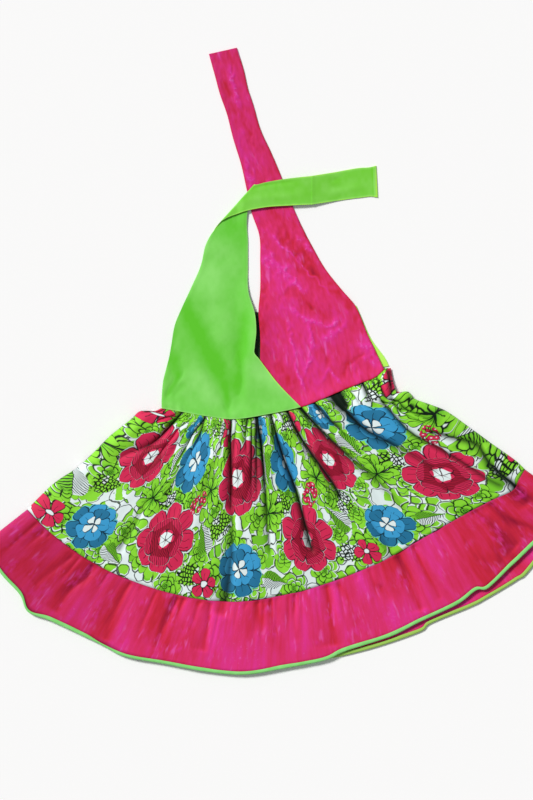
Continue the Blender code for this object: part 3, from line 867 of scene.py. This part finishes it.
def make_front_band(material):
    share, down, flat = band_grid(SEAM_FRONT, HEM_FRONT, BAND_GRID, BAND_INSET)
    across = np.broadcast_to(share, flat.shape[:2])
    rise, left = band_height(flat, across, down)
    points = np.dstack((flat, LAYER + CLOTH + rise))
    # The band's ends are painted darker, as shade.
    left_end_shade = 1.0 - smoothstep(0.03, 0.34, across)
    right_end_shade = smoothstep(0.7, 0.97, across)
    broad = 0.3 * noise(across * 17.0 + 0.4 * down, down * 1.2, 51)
    fine = 0.2 * noise(across * 110.0, down * 1.6, 52)
    finest = 0.12 * noise(across * 230.0, down * 2.4, 54)
    # Troughs of the gathers are painted darker and crests lighter: painted shade and highlights.
    relief = -0.49 + 0.95 * left + broad + fine + finest - 0.12 * left_end_shade - 0.25 * right_end_shade
    # Painted shade under the binding's edge and along the seam at the band's top.
    shade_under_binding = smoothstep(0.945, 0.965, down)
    shade_at_seam = 1.0 - smoothstep(0.0, 0.012, down)
    shade = np.clip(0.36 * left_end_shade + 0.08 * right_end_shade + 0.55 * shade_under_binding + 0.55 * shade_at_seam, 0.0, 1.0)
    cut = strip_cut(share, 1.0 - down, BAND_CUT)
    return make_cloth("hem_band_front_cloth", points, cut, material, relief, GATHERED_CLOTH, shade)


def binding_width(share, fullness):
    """Visible width of a folded strip: narrow and wavy at the left of the dress, even at the right."""
    right = smoothstep(0.16, 0.5, share)
    waves = noise(share * 34.0, share, 61)
    return BINDING_WIDTH * fullness * (mix(0.58, 0.84, right) + mix(0.34, 0.1, right) * waves)


def make_binding(name, seam_curve, hem_curve, height, material, tone, fullness=1.0):
    """A strip folded over the hem's edge: along its top, round the edge and back underneath."""
    rows, columns = BINDING_GRID
    share = np.linspace(0.0, 1.0, columns)
    seam = curve(seam_curve, share)
    hem = curve(hem_curve, share)
    outward = (hem - seam) / np.linalg.norm(hem - seam, axis=-1, keepdims=True)
    turn = np.linspace(0.0, 1.0, rows)[:, None]
    angle = np.clip((turn - 0.35) / 0.3, 0.0, 1.0) * math.pi
    inwards = np.maximum(np.abs(turn - 0.5) - 0.15, 0.0) / 0.35
    width = np.maximum(binding_width(share, fullness), 2.0 * BINDING_HALF)
    out = BINDING_WIDTH - BINDING_HALF - inwards * (width - BINDING_HALF) + BINDING_HALF * np.sin(angle)
    flat = inner_hem(seam, hem)[None] + outward[None] * out[..., None]
    rolled = 0.3 * np.sin(math.pi * np.clip(turn / 0.5, 0.0, 1.0))
    z = height[None] + BINDING_HALF * np.cos(angle) + rolled
    points = np.dstack((flat, z))[::-1]
    cut = strip_cut(share, turn[::-1], BINDING_CUT)
    relief = np.full(points.shape[:2], tone)
    return make_cloth(name, points, cut, material, relief, BINDING_CLOTH)


def make_front_binding(material):
    share = np.linspace(0.0, 1.0, BINDING_GRID[1])
    edge = inner_hem(curve(SEAM_FRONT, share), curve(HEM_FRONT, share))
    rise, _ = band_height(edge[None], share[None], np.ones((1, 1)))
    height = LAYER + GATHERED_CLOTH + rise[0]
    return make_binding("hem_binding_front_cloth", SEAM_FRONT, HEM_FRONT, height, material, 1.0)


def room_under(points, x, y, cell=4.0, reach=800.0):
    """Height of the lowest point of a cloth's grid close to each place, 0 where there is none."""
    size = int(reach / cell)
    lowest = np.full((size, size), np.inf)
    column = (points[..., 0] / cell + size / 2).astype(int)
    row = (points[..., 1] / cell + size / 2).astype(int)
    np.minimum.at(lowest, (row.ravel(), column.ravel()), points[..., 2].ravel())
    near = [np.roll(lowest, (i, j), (0, 1)) for i in (-1, 0, 1) for j in (-1, 0, 1)]
    lowest = np.min(near, axis=0)
    lowest[np.isinf(lowest)] = 0.0
    return lowest[(y / cell + size / 2).astype(int), (x / cell + size / 2).astype(int)]


def back_gathers(share, down):
    """Gathers of the back panel. They stand up between the layers, as its underside lies on the floor."""
    total = np.zeros(np.broadcast(share, down).shape)
    gathers = short_gathers(23, 6.0, WAIST_LENGTH, BACK_PITCH, BACK_WIDTH, BACK_REACH, BACK_HEIGHT)
    for place, width, reach, height in gathers:
        away = share * WAIST_LENGTH - place
        fade = (1.0 - smoothstep(0.3 * reach, reach, down)) * smoothstep(0.0, 0.03, down)
        total += height * fade * slit(away, width * (1.0 + 1.6 * down))
    return np.minimum(total, BACK_HEIGHT[1])


def make_back_skirt(material, front_points):
    share, down = even_grid(BACK_SKIRT_GRID)
    flat = between_edges(curve(WAIST_BACK, share), curve(SEAM_BACK, share), down)
    flat = pull_sides(flat, np.broadcast_to(share, flat.shape[:2]), down, BACK_INSET)
    x, y = flat[..., 0], flat[..., 1]
    room = room_under(front_points, x, y) - CLOTH * 3.0
    below_bodice = smoothstep(3.0, 12.0, height_of_curve(WAIST_FRONT, x) - y)
    gathered = np.minimum(back_gathers(share[None], down) * below_bodice, np.maximum(room, 0.0))
    points = np.dstack((flat, CLOTH + gathered))
    return make_cloth("skirt_back_cloth", points, strip_cut(share, 1.0 - down, SKIRT_CUT), material)


def make_back_band(material):
    share, down, flat = band_grid(SEAM_BACK, HEM_BACK, BACK_BAND_GRID, BACK_BAND_INSET)
    lift = np.broadcast_to(0.4 * smoothstep(0.9, 0.95, down), flat.shape[:2])
    points = np.dstack((flat, CLOTH + lift))
    relief = 0.55 + 0.25 * noise(share * 40.0, down, 53)
    cut = strip_cut(share, 1.0 - down, BAND_CUT)
    return make_cloth("hem_band_back_cloth", points, cut, material, relief)


def make_back_binding(material):
    height = np.full(BINDING_GRID[1], BINDING_HALF + 0.05)
    return make_binding("hem_binding_back_cloth", SEAM_BACK, HEM_BACK, height, material, 0.0, 0.94)


# ================================================================ materials

class Field:
    """A number that varies over the cloth. Sums with it add nodes to the graph that it belongs to."""

    def __init__(self, graph, socket):
        self.graph = graph
        self.socket = socket

    def __rsub__(self, other):
        return self.graph.math("SUBTRACT", other, self)


def field_operator(operation):
    return lambda self, *other: self.graph.math(operation, self, *other)


for sign, operation in (("add", "ADD"), ("radd", "ADD"), ("sub", "SUBTRACT"), ("mul", "MULTIPLY"),
                        ("rmul", "MULTIPLY"), ("truediv", "DIVIDE"), ("abs", "ABSOLUTE"),
                        ("lt", "LESS_THAN"), ("gt", "GREATER_THAN")):
    setattr(Field, f"__{sign}__", field_operator(operation))


class Graph:
    """One material's node tree, with a short call for each kind of node that the cloths need."""

    def __init__(self, name):
        self.material = bpy.data.materials.new(name)
        self.material.use_nodes = True
        self.tree = self.material.node_tree
        self.shader = self.tree.nodes["Principled BSDF"]

    def node(self, kind, inputs, **settings):
        node = self.tree.nodes.new(kind)
        for name, value in settings.items():
            setattr(node, name, value)
        for name, value in inputs.items():
            self.feed(node.inputs[name], value)
        return node

    def feed(self, socket, value):
        value = value.socket if isinstance(value, Field) else value
        if isinstance(value, bpy.types.NodeSocket):
            self.tree.links.new(value, socket)
        else:
            socket.default_value = value

    def math(self, operation, *values):
        node = self.node("ShaderNodeMath", dict(enumerate(values)), operation=operation)
        return Field(self, node.outputs[0])

    def vector(self, x, y, z=0.0):
        return self.node("ShaderNodeCombineXYZ", {"X": x, "Y": y, "Z": z}).outputs[0]

    def split(self, vector):
        node = self.node("ShaderNodeSeparateXYZ", {"Vector": vector})
        return Field(self, node.outputs["X"]), Field(self, node.outputs["Y"])

    def cloth_place(self):
        """Place on the flat cut piece, in millimetres."""
        x, y = self.split(self.node("ShaderNodeUVMap", {}, uv_map="cut").outputs["UV"])
        return x * (1.0 / MM), y * (1.0 / MM)

    def attribute(self, name):
        return Field(self, self.node("ShaderNodeAttribute", {}, attribute_name=name).outputs["Fac"])

    def slope(self, x, y):
        """How far the cloth's face leans towards a level direction (x, y), from -1 to 1."""
        normal = self.node("ShaderNodeNewGeometry", {}).outputs["Normal"]
        lean = self.node("ShaderNodeVectorMath", {0: normal, 1: (x, y, 0.0)}, operation="DOT_PRODUCT")
        return Field(self, lean.outputs["Value"])

    def rising(self, value, start, end):
        """0 where value is short of start, 1 where it is past end, and even steps between."""
        inputs = {"Value": value, "From Min": start, "From Max": end, "To Min": 0.0, "To Max": 1.0}
        return Field(self, self.node("ShaderNodeMapRange", inputs).outputs["Result"])

    def below(self, value, limit, soft=0.35):
        """1 where value is under the limit, 0 where it is over, with a soft step between."""
        return self.rising(value, limit + soft, limit - soft)

    def noise(self, x, y, size, detail=1.0):
        """Smooth noise from 0 to 1 that changes over about size mm."""
        inputs = {"Vector": self.vector(x, y), "Scale": 1.0 / size, "Detail": detail}
        return Field(self, self.node("ShaderNodeTexNoise", inputs, noise_dimensions="2D").outputs[0])

    def cells(self, x, y, size, randomness=1.0, feature="F1"):
        """A field of cells about size mm across."""
        inputs = {"Vector": self.vector(x, y), "Scale": 1.0 / size, "Randomness": randomness}
        return self.node("ShaderNodeTexVoronoi", inputs, voronoi_dimensions="2D", feature=feature)

    def cell_edge(self, x, y, size, randomness=1.0):
        """Distance to the edge of the nearest cell, in parts of size."""
        edge = self.cells(x, y, size, randomness, "DISTANCE_TO_EDGE")
        return Field(self, edge.outputs["Distance"])

    def either(self, a, b):
        return self.math("MAXIMUM", a, b)

    def lesser(self, a, b):
        return self.math("MINIMUM", a, b)

    def hypot(self, x, y):
        return self.math("SQRT", x * x + y * y)

    def angle(self, x, y):
        return self.math("ARCTAN2", y, x)

    def sine(self, value):
        return self.math("SINE", value)

    def folded(self, value, period):
        """value brought into the range from minus half a period to plus half, over and over."""
        return self.math("WRAP", value, period / 2, -period / 2)

    def paint(self, under, over, mask):
        return self.node("ShaderNodeMix", {0: mask, 6: under, 7: over}, data_type="RGBA").outputs[2]

    def shades(self, color, value, steps):
        """Colours painted over the first one after another, each where value rises through its range."""
        for over, start, end in steps:
            color = self.paint(color, over, self.rising(value, start, end))
        return color

    def finish(self, color, height, distance, strength=1.0):
        """Sends the colour to the shader, and a bump from height, which is distance mm high at 1."""
        self.feed(self.shader.inputs["Base Color"], color)
        inputs = {"Height": height, "Distance": distance * MM, "Strength": strength}
        self.feed(self.shader.inputs["Normal"], self.node("ShaderNodeBump", inputs).outputs["Normal"])
        return self.material


def srgb(red, green, blue):
    """A display colour from 0 to 255 as the linear colour that a shader takes."""
    def linear(value):
        value = value / 255.0
        return value / 12.92 if value <= 0.04045 else ((value + 0.055) / 1.055) ** 2.4
    return (linear(red), linear(green), linear(blue), 1.0)


def set_gloss(graph, roughness, specular, sheen=0.0, sheen_roughness=0.5, sheen_tint=(1.0, 1.0, 1.0, 1.0)):
    """Constants that stay on the shader's own sockets."""
    shader = graph.shader.inputs
    shader["Roughness"].default_value = roughness
    shader["Specular IOR Level"].default_value = specular
    shader["Sheen Weight"].default_value = sheen
    shader["Sheen Roughness"].default_value = sheen_roughness
    shader["Sheen Tint"].default_value = sheen_tint


# The pink tones are the shot cloth's crimson and magenta, laid out as painted shade and painted highlights;
# the lime tones other than LIME_COTTON and LIME_COTTON_REVERSE are painted shade and highlights.
PINK = srgb(222, 52, 110)
PINK_SHADE = srgb(206, 42, 64)
PINK_HIGHLIGHT = srgb(230, 56, 152)
PINK_GLINT = srgb(236, 104, 190)
PINK_DARK = srgb(120, 14, 44)
BINDING = srgb(148, 230, 136)
BINDING_SHADE = srgb(120, 208, 100)
BINDING_YELLOWED = srgb(158, 204, 88)
LIME_COTTON = srgb(118, 212, 80)
LIME_COTTON_SHADE = srgb(90, 200, 30)
LIME_COTTON_HIGHLIGHT = srgb(144, 228, 112)
LIME_COTTON_DEEP_SHADE = srgb(16, 52, 18)
LIME_COTTON_STRONG_HIGHLIGHT = srgb(190, 255, 96)
LIME_COTTON_REVERSE = srgb(126, 210, 30)


def weave(graph, x, y, pitch):
    """Height of a plain weave: threads over and under each other, from 0 to 1."""
    turn = math.tau / pitch
    return graph.sine(x * turn) * graph.sine(y * turn) * 0.5 + 0.5


# ---------------------------------------------------------------- the wax print

Motif = namedtuple("Motif", "x y size turn stretch")

# The print repeats along the flat cloth. Each motif's place in one repeat and its half size are in mm,
# y goes up from the lower edge, and the turn of its axis is in degrees from +X.
REPEAT = 240.0
CRIMSON_FLOWERS = (
    Motif(58, 142, 50, 20, 1.0),
    Motif(178, 58, 48, -35, 1.0),
)
BLUE_BLOSSOMS = (
    Motif(172, 156, 40, 10, 1.0),
    Motif(66, 38, 34, 60, 1.0),
    Motif(112, 198, 20, 30, 1.0),
)
LIME_STARS = (
    Motif(118, 100, 30, 10, 1.0),
    Motif(236, 128, 28, 40, 1.0),
)
CRIMSON_BLOSSOMS = (
    Motif(6, 198, 20, 50, 1.0),
    Motif(14, 18, 18, 15, 1.0),
)
HATCHED_LEAVES = (
    Motif(122, 150, 40, 100, 0.8),
    Motif(2, 72, 44, -60, 0.8),
    Motif(116, 18, 36, 160, 0.8),
)
BERRY_CLUSTERS = (
    Motif(214, 110, 18, 40, 0.6),
)
NET_PATCHES = (
    Motif(28, 88, 20, 40, 0.7),
    Motif(146, 104, 16, -50, 0.8),
    Motif(232, 26, 18, 0, 0.7),
    Motif(212, 200, 18, 20, 0.6),
)

ROSETTE_CELL = 46.0
ROSETTE_RINGS = ((4, 8.4), (5, 14.5), (7, 21.5))   # number of petals and outer radius of each ring

FOLD_SHADOW = srgb(8, 26, 14)
WHITE = srgb(228, 242, 242)
LIME = srgb(140, 220, 54)
LIME_DEEP = srgb(78, 170, 24)
LINE = srgb(3, 24, 11)
BLUE = srgb(60, 158, 210)
BLUE_DEEP = srgb(36, 116, 156)
BLUE_PALE = srgb(96, 196, 214)
TEAL = srgb(8, 52, 72)
CRIMSON = srgb(212, 40, 84)
CRIMSON_DEEP = srgb(168, 18, 52)
MAROON = srgb(56, 4, 24)


def nearest_motif(graph, x, y, motifs):
    """Place (along, across) in the nearest of the motifs, in parts of its size."""
    best = None
    for motif in motifs:
        away = graph.vector(graph.folded(x - motif.x, REPEAT), y - motif.y)
        inputs = {"Vector": away, "Rotation": (0.0, 0.0, math.radians(motif.turn)),
                  "Scale": (motif.size, motif.size * motif.stretch, 1.0)}
        local = graph.node("ShaderNodeMapping", inputs, vector_type="TEXTURE").outputs[0]
        length = graph.node("ShaderNodeVectorMath", {0: local}, operation="LENGTH")
        reach = Field(graph, length.outputs["Value"])
        if best is None:
            best, best_reach = local, reach
        else:
            inputs = {0: reach < best_reach, 4: best, 5: local}
            best = graph.node("ShaderNodeMix", inputs, data_type="VECTOR").outputs[1]
            best_reach = graph.lesser(reach, best_reach)
    return graph.split(best)


def rosettes(graph, x, y):
    """Lime rosettes of three rings of petals. Returns their fill, lines, shade and white glints."""
    cell = graph.cells(x, y, ROSETTE_CELL, 0.75)
    centre_x, centre_y = graph.split(cell.outputs["Position"])
    chance, _ = graph.split(cell.outputs["Color"])
    dx = x - centre_x
    dy = y - centre_y
    radius = graph.hypot(dx, dy) * (1.42 - chance * 0.66)
    angle = graph.angle(dx, dy) + chance * math.tau
    spiral = graph.folded(radius * (1 / 1.9) + angle * (1 / math.tau), 1.0)
    inner = 4.0
    lines = graph.below(abs(spiral) * 1.9, 0.42) * (radius < inner)
    shade = graph.below(radius, 3.6, 2.4)
    white = 0.0
    for petals, reach in ROSETTE_RINGS:
        swing = abs(graph.sine(angle * (petals / 2) + chance * petals))
        edge = (swing * 0.3 + 0.72) * reach
        lines = graph.either(lines, graph.below(abs(radius - edge), 0.65))
        spoke = graph.below(swing * radius * (2 / petals), 0.72) * (radius > inner) * (radius < edge)
        lines = graph.either(lines, spoke)
        shade = graph.either(shade, graph.below(radius - inner, 1.2, 2.0) * (radius > inner))
        gap = graph.sine(angle + chance * 9.0 + reach) * 2.2
        white = graph.either(white, graph.below(abs(edge - radius - gap * 0.5), gap * 0.5) * (radius > 7.0))
        inner = edge
    fill = graph.below(radius, edge)
    return fill, lines, shade, white


def round_cells(graph, x, y, size):
    """Rounded petals about size mm across, side by side, and how far inside its edge a point is, in mm."""
    cell = graph.cells(x, y, size)
    reach = 0.56 - Field(graph, cell.outputs["Distance"])
    return cell, graph.lesser(graph.cell_edge(x, y, size), reach) * size


def ground(graph, x, y):
    """White cloth filled with lime rosettes and, between them, rounded petals outlined in dark green."""
    patch = graph.noise(x, y, 60.0)
    color = WHITE
    for size, shift, share in ((27.0, 17.0, 0.3), (15.0, 0.0, 0.14)):
        cell, inside = round_cells(graph, x + shift, y, size)
        chance, shade_chance = graph.split(cell.outputs["Color"])
        lime = chance < (patch * 1.4 + share)
        fill = graph.paint(WHITE, graph.paint(LIME, LIME_DEEP, (shade_chance > 0.6) * 0.4), lime)
        _, offset = round_cells(graph, x + shift + 1.3, y - 1.1, size)
        petals = graph.paint(WHITE, fill, offset > 0.9)
        petals = graph.paint(petals, LINE, graph.below(abs(inside - 0.5), 0.55))
        color = petals if size > 20.0 else graph.paint(petals, color, patch < 0.43)
    fill, lines, shade, white = rosettes(graph, x, y)
    rose = graph.paint(LIME, LIME_DEEP, shade * 0.8)
    rose = graph.paint(rose, WHITE, white)
    rose = graph.paint(rose, LINE, lines)
    return graph.paint(color, rose, fill)


def net(graph, x, y):
    """1 on the threads of an uneven net."""
    mesh, thread = 4.6, 1.7
    return graph.below(graph.cell_edge(x, y, mesh, 0.6) * mesh, thread / 2)


class Whorl:
    """Petals set round a motif's centre.

    reach and plump are a petal's length and half width in parts of the motif's size. The petals
    differ a little in length. inside, outline and veins are masks, out and side say where on a
    petal a point is, and chance is a petal's own number from 0 to 1.
    """

    def __init__(self, graph, along, across, petals, reach=1.0, plump=0.3, turn=0.0, line=0.02):
        cosine, sine = math.cos(turn), math.sin(turn)
        x = along * cosine + across * sine
        y = across * cosine - along * sine
        radius = graph.hypot(x, y)
        step = math.tau / petals
        place = graph.angle(x, y) / step
        nearest = graph.math("ROUND", place)
        turned = (place - nearest) * step
        self.chance = graph.sine(graph.math("WRAP", nearest, petals, 0.0) * 37.0 + turn * 5.0) * 0.5 + 0.5
        length = (1.0 - self.chance * 0.16) * reach
        self.out = radius * graph.math("COSINE", turned) / length
        self.side = radius * graph.sine(turned)
        square = self.out * self.out
        full = graph.math("SQRT", graph.math("MAXIMUM", 1.0 - square * square, 0.0))
        self.half = self.out * full * (plump * 1.45)
        self.within = (self.out > 0.0) * (self.out < 1.02) * (abs(turned) < 1.5)
        self.inside = graph.below(abs(self.side), self.half, 0.006) * self.within * (self.out < 1.0)
        self.outline = graph.below(abs(abs(self.side) - self.half), line, 0.008) * self.within
        self.graph = graph

    def halo(self, width):
        """The petals with a margin of the given width round them."""
        return self.graph.below(abs(self.side), self.half + width, 0.01) * self.within

    def veins(self, count, width):
        """Lines that run from the base of a petal to its tip."""
        place = self.graph.folded(self.side / (self.half + 0.001), 2.0 / count)
        return self.graph.below(abs(place) * self.half, width, 0.006) * self.inside


def petals_painted(graph, color, whorl, fill, line):
    """The petals of a whorl in one colour, over what is already there, with their outlines."""
    color = graph.paint(color, fill, whorl.inside)
    return graph.paint(color, line, whorl.outline)


# Every motif is drawn by a function of the same kind, over the colour that is already there. along and
# across are a place in the motif, in parts of its size, and x and y are that place in the print.

def hatched_leaf(graph, color, along, across, x, y):
    """A broad leaf, closely hatched from its midrib outwards, one half of it lime and the other white."""
    leaf = Whorl(graph, along + 0.5, across, 1, 1.1, 0.4, 0.0, 0.012)
    body = graph.paint(graph.paint(LIME, LIME_DEEP, 0.5), WHITE, leaf.side > 0.0)
    hatch = graph.below(abs(graph.folded(along * 16.0 - abs(across) * 9.0, 1.0)), 0.2, 0.1)
    body = graph.paint(body, LINE, hatch * graph.below(leaf.out, 0.94, 0.03))
    body = graph.paint(body, LINE, graph.below(abs(leaf.side), 0.008, 0.006))
    return graph.paint(color, body, leaf.inside)


def lime_star(graph, color, along, across, x, y):
    """Nine pointed lime petals, and five shorter ones on them."""
    for petals, reach, turn in ((9, 1.0, 0.0), (5, 0.6, 0.3)):
        whorl = Whorl(graph, along, across, petals, reach, 0.2, turn, 0.02)
        fill = graph.paint(LIME, LIME_DEEP, graph.below(whorl.out, 0.45, 0.3) * 0.8)
        color = petals_painted(graph, color, whorl, fill, LINE)
        color = graph.paint(color, LINE, whorl.veins(1, 0.008) * (whorl.out < 0.72))
    return color


def crimson_blossom(graph, color, along, across, x, y):
    """A small blossom of five round petals with a white heart."""
    whorl = Whorl(graph, along, across, 5, 1.0, 0.42, 0.0, 0.03)
    fill = graph.paint(CRIMSON, MAROON, whorl.veins(2, 0.014) * (whorl.out < 0.7) * 0.8)
    color = petals_painted(graph, color, whorl, fill, MAROON)
    heart = graph.hypot(along, across)
    color = graph.paint(color, WHITE, heart < 0.2)
    return graph.paint(color, MAROON, graph.below(abs(heart - 0.2), 0.03, 0.02))


def blue_blossom(graph, color, along, across, x, y):
    """A blue bloom of three rings of round petals with a pale rim. The ring in its middle is white."""
    radius = graph.hypot(along, across)
    first = Whorl(graph, along, across, 7, 1.0, 0.33, 0.2, 0.02)
    color = graph.paint(color, BLUE_PALE, first.halo(0.06))
    color = graph.paint(color, BLUE_DEEP, graph.below(radius, 0.62, 0.02))
    second = Whorl(graph, along, across, 5, 0.72, 0.34, 0.7, 0.02)
    for whorl in (first, second):
        fill = graph.paint(BLUE, BLUE_DEEP, whorl.chance < 0.35)
        fill = graph.paint(fill, TEAL, whorl.veins(2, 0.008) * (whorl.out > 0.4) * (whorl.out < 0.8))
        color = petals_painted(graph, color, whorl, fill, TEAL)
    heart = Whorl(graph, along, across, 4, 0.34, 0.16, 0.1, 0.02)
    return petals_painted(graph, color, heart, WHITE, TEAL)


def crimson_flower(graph, color, along, across, x, y):
    """A wide open flower: eight broad crimson petals, five shaded ones on them and a white heart."""
    hatch = graph.below(abs(graph.folded(x * 0.8 + y * 0.6, 2.6)), 0.5, 0.3)
    back = Whorl(graph, along, across, 8, 1.0, 0.3, 0.0, 0.014)
    color = graph.paint(color, WHITE, back.halo(0.04))
    fill = graph.paint(CRIMSON, MAROON, back.veins(3, 0.006) * (back.out < 0.86))
    color = petals_painted(graph, color, back, fill, MAROON)
    front = Whorl(graph, along, across, 5, 0.66, 0.34, 0.4, 0.014)
    shaded = graph.paint(CRIMSON, CRIMSON_DEEP, front.out < 0.7)
    color = graph.paint(color, WHITE, front.halo(0.02))
    color = petals_painted(graph, color, front, graph.paint(shaded, MAROON, hatch * 0.75), MAROON)
    heart = Whorl(graph, along, across, 6, 0.3, 0.12, 0.9, 0.014)
    return petals_painted(graph, color, heart, graph.paint(WHITE, CRIMSON, heart.out > 0.7), MAROON)


def berries(graph, color, along, across, x, y):
    """A cluster of crimson berries, each with a white dot."""
    cell = graph.cells(x, y, 8.0, 0.5)
    away = Field(graph, cell.outputs["Distance"])
    berry = graph.paint(CRIMSON, WHITE, graph.below(away, 0.1, 0.05))
    berry = graph.paint(berry, MAROON, graph.below(abs(away - 0.46), 0.05, 0.03))
    return graph.paint(color, berry, (graph.hypot(along, across) < 1.0) * (away < 0.5))


def wax_print_material():
    """White cotton printed with lime rosettes, blue and crimson flowers, leaves and berries."""
    graph = Graph("wax_print_cloth")
    set_gloss(graph, 0.6, 0.16, 0.03, 0.5)
    flat_x, flat_y = graph.cloth_place()
    sway = graph.noise(flat_x, flat_y, 16.0, 2.0) - 0.5
    swing = graph.noise(flat_x + 90.0, flat_y + 50.0, 16.0, 2.0) - 0.5
    x = flat_x + sway * 7.0
    y = flat_y + swing * 7.0
    color = ground(graph, x, y)
    along, across = nearest_motif(graph, x, y, NET_PATCHES)
    patch = graph.below(graph.hypot(along, across), graph.noise(x, y, 9.0) * 1.2 + 0.4, 0.05)
    base = graph.paint(LIME, WHITE, graph.noise(x, y, 24.0) > 0.52)
    color = graph.paint(color, graph.paint(base, LINE, net(graph, x, y)), patch)
    for draw, motifs in ((hatched_leaf, HATCHED_LEAVES), (lime_star, LIME_STARS),
                         (blue_blossom, BLUE_BLOSSOMS), (crimson_blossom, CRIMSON_BLOSSOMS),
                         (crimson_flower, CRIMSON_FLOWERS), (berries, BERRY_CLUSTERS)):
        along, across = nearest_motif(graph, x, y, motifs)
        color = draw(graph, color, along, across, x, y)
    color = graph.paint(color, FOLD_SHADOW, graph.rising(graph.attribute("relief"), 0.88, 0.26))
    threads = weave(graph, flat_x, flat_y, 0.7)
    return graph.finish(color, threads, 0.05, 0.5)


def shot_material():
    """Pink shot cloth: crimson threads one way, magenta the other. Painted shade and highlights set its
    tone.
    """
    graph = Graph("pink_shot_cloth_cloth")
    set_gloss(graph, 0.5, 0.26, 0.08, 0.4, srgb(255, 90, 180))
    graph.shader.inputs["Specular Tint"].default_value = srgb(255, 120, 205)
    x, y = graph.cloth_place()
    drift = graph.noise(x, y * 0.5, 64.0, 2.0) - 0.5
    streaks = graph.noise(x, y * 0.35 + 60.0, 8.0, 3.0) - 0.5
    slubs = graph.noise(x, y * 0.1 + 20.0, 2.6, 1.0) - 0.5
    tone = drift * 0.9 + streaks * 0.45 + slubs * 0.22
    # Painted light and shade: the tone rises on crests and on slopes that face the lamp, and falls in
    # troughs.
    facing = graph.attribute("relief") + graph.slope(-0.75, 0.65) * 0.35 + tone
    steps = ((PINK_SHADE, -0.9, 0.0), (PINK, 0.0, 0.5), (PINK_HIGHLIGHT, 0.5, 1.0))
    color = graph.shades(PINK_DARK, facing, steps)
    # Painted highlights on the crinkles, in patches.
    crinkles = graph.noise(x + 31.0, y * 0.45, 6.0, 2.0)
    patches = graph.rising(graph.noise(x + 80.0, y * 0.7, 24.0), 0.5, 0.7)
    color = graph.paint(color, PINK_HIGHLIGHT, patches * graph.rising(crinkles, 0.4, 0.65) * 0.5)
    glints = graph.rising(graph.noise(x + 12.0, y * 0.22 + 40.0, 4.5, 1.5), 0.56, 0.74)
    color = graph.paint(color, PINK_GLINT, glints * patches * 0.5)
    # Painted glints along the crests, broken up.
    broken = (graph.noise(x + 54.0, y, 3.6, 2.0) - 0.5) * 1.8
    color = graph.paint(color, PINK_GLINT, graph.rising(graph.attribute("relief") + broken, 1.0, 1.5) * 0.6)
    # Painted shade on the band's ends, under its binding and at its seam; on the bodice, darker towards the
    # strap's top.
    color = graph.paint(color, PINK_DARK, graph.attribute("shade"))
    return graph.finish(color, crinkles + weave(graph, x, y, 0.6) * 0.15, 0.4, 0.5)


def lime_material():
    """Plain lime cotton with a soft lustre. Its tone is painted: shade in deeper green, highlights paler.
    """
    graph = Graph("lime_cotton_cloth")
    set_gloss(graph, 0.6, 0.3, 0.2, 0.5, srgb(210, 255, 190))
    x, y = graph.cloth_place()
    drift = graph.noise(x, y * 0.7, 42.0, 2.0) - 0.5
    facing = graph.attribute("relief") + drift * 0.5
    steps = ((LIME_COTTON_SHADE, -1.5, -0.2), (LIME_COTTON, 0.0, 0.5), (LIME_COTTON_HIGHLIGHT, 0.5, 1.0),
             (LIME_COTTON_STRONG_HIGHLIGHT, 1.1, 1.5))
    color = graph.shades(LIME_COTTON_DEEP_SHADE, facing, steps)
    color = graph.paint(color, LIME_COTTON_REVERSE, graph.attribute("shade") * 0.4)
    return graph.finish(color, weave(graph, x, y, 0.8), 0.05, 0.5)


def binding_material():
    graph = Graph("green_binding_cloth")
    set_gloss(graph, 0.6, 0.3, 0.1, 0.5)
    x, y = graph.cloth_place()
    color = graph.paint(BINDING_SHADE, BINDING, graph.noise(x, y, 12.0, 2.0))
    color = graph.paint(BINDING_YELLOWED, color, graph.attribute("relief"))
    return graph.finish(color, weave(graph, x, y, 0.7), 0.05)


# ================================================================ the dress

def declare(node):
    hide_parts(node)


def main():
    make_camera()
    make_light()
    make_floor()
    lime = lime_material()
    pink = shot_material()
    green = binding_material()
    points, cut, relief = front_skirt_grid()
    wax = wax_print_material()

    back_bodice = make_back_bodice(lime)
    pink_front = make_pink_front(pink)
    green_front = make_green_front(lime)
    strap_end = make_strap_end(lime)
    front_skirt = make_cloth("skirt_front_cloth", points, cut, wax, relief, GATHERED_CLOTH)
    front_band = make_front_band(pink)
    front_binding = make_front_binding(green)
    back_skirt = make_back_skirt(wax, points)
    back_band = make_back_band(pink)
    back_binding = make_back_binding(green)

    declare("bodice_back")
    declare("bodice_front_pink")
    declare("bodice_front_green")
    declare("strap_extension_green")
    declare("skirt_front")
    declare("hem_band_front")
    declare("hem_binding_front")
    declare("skirt_back")
    declare("hem_band_back")
    declare("hem_binding_back")


main()
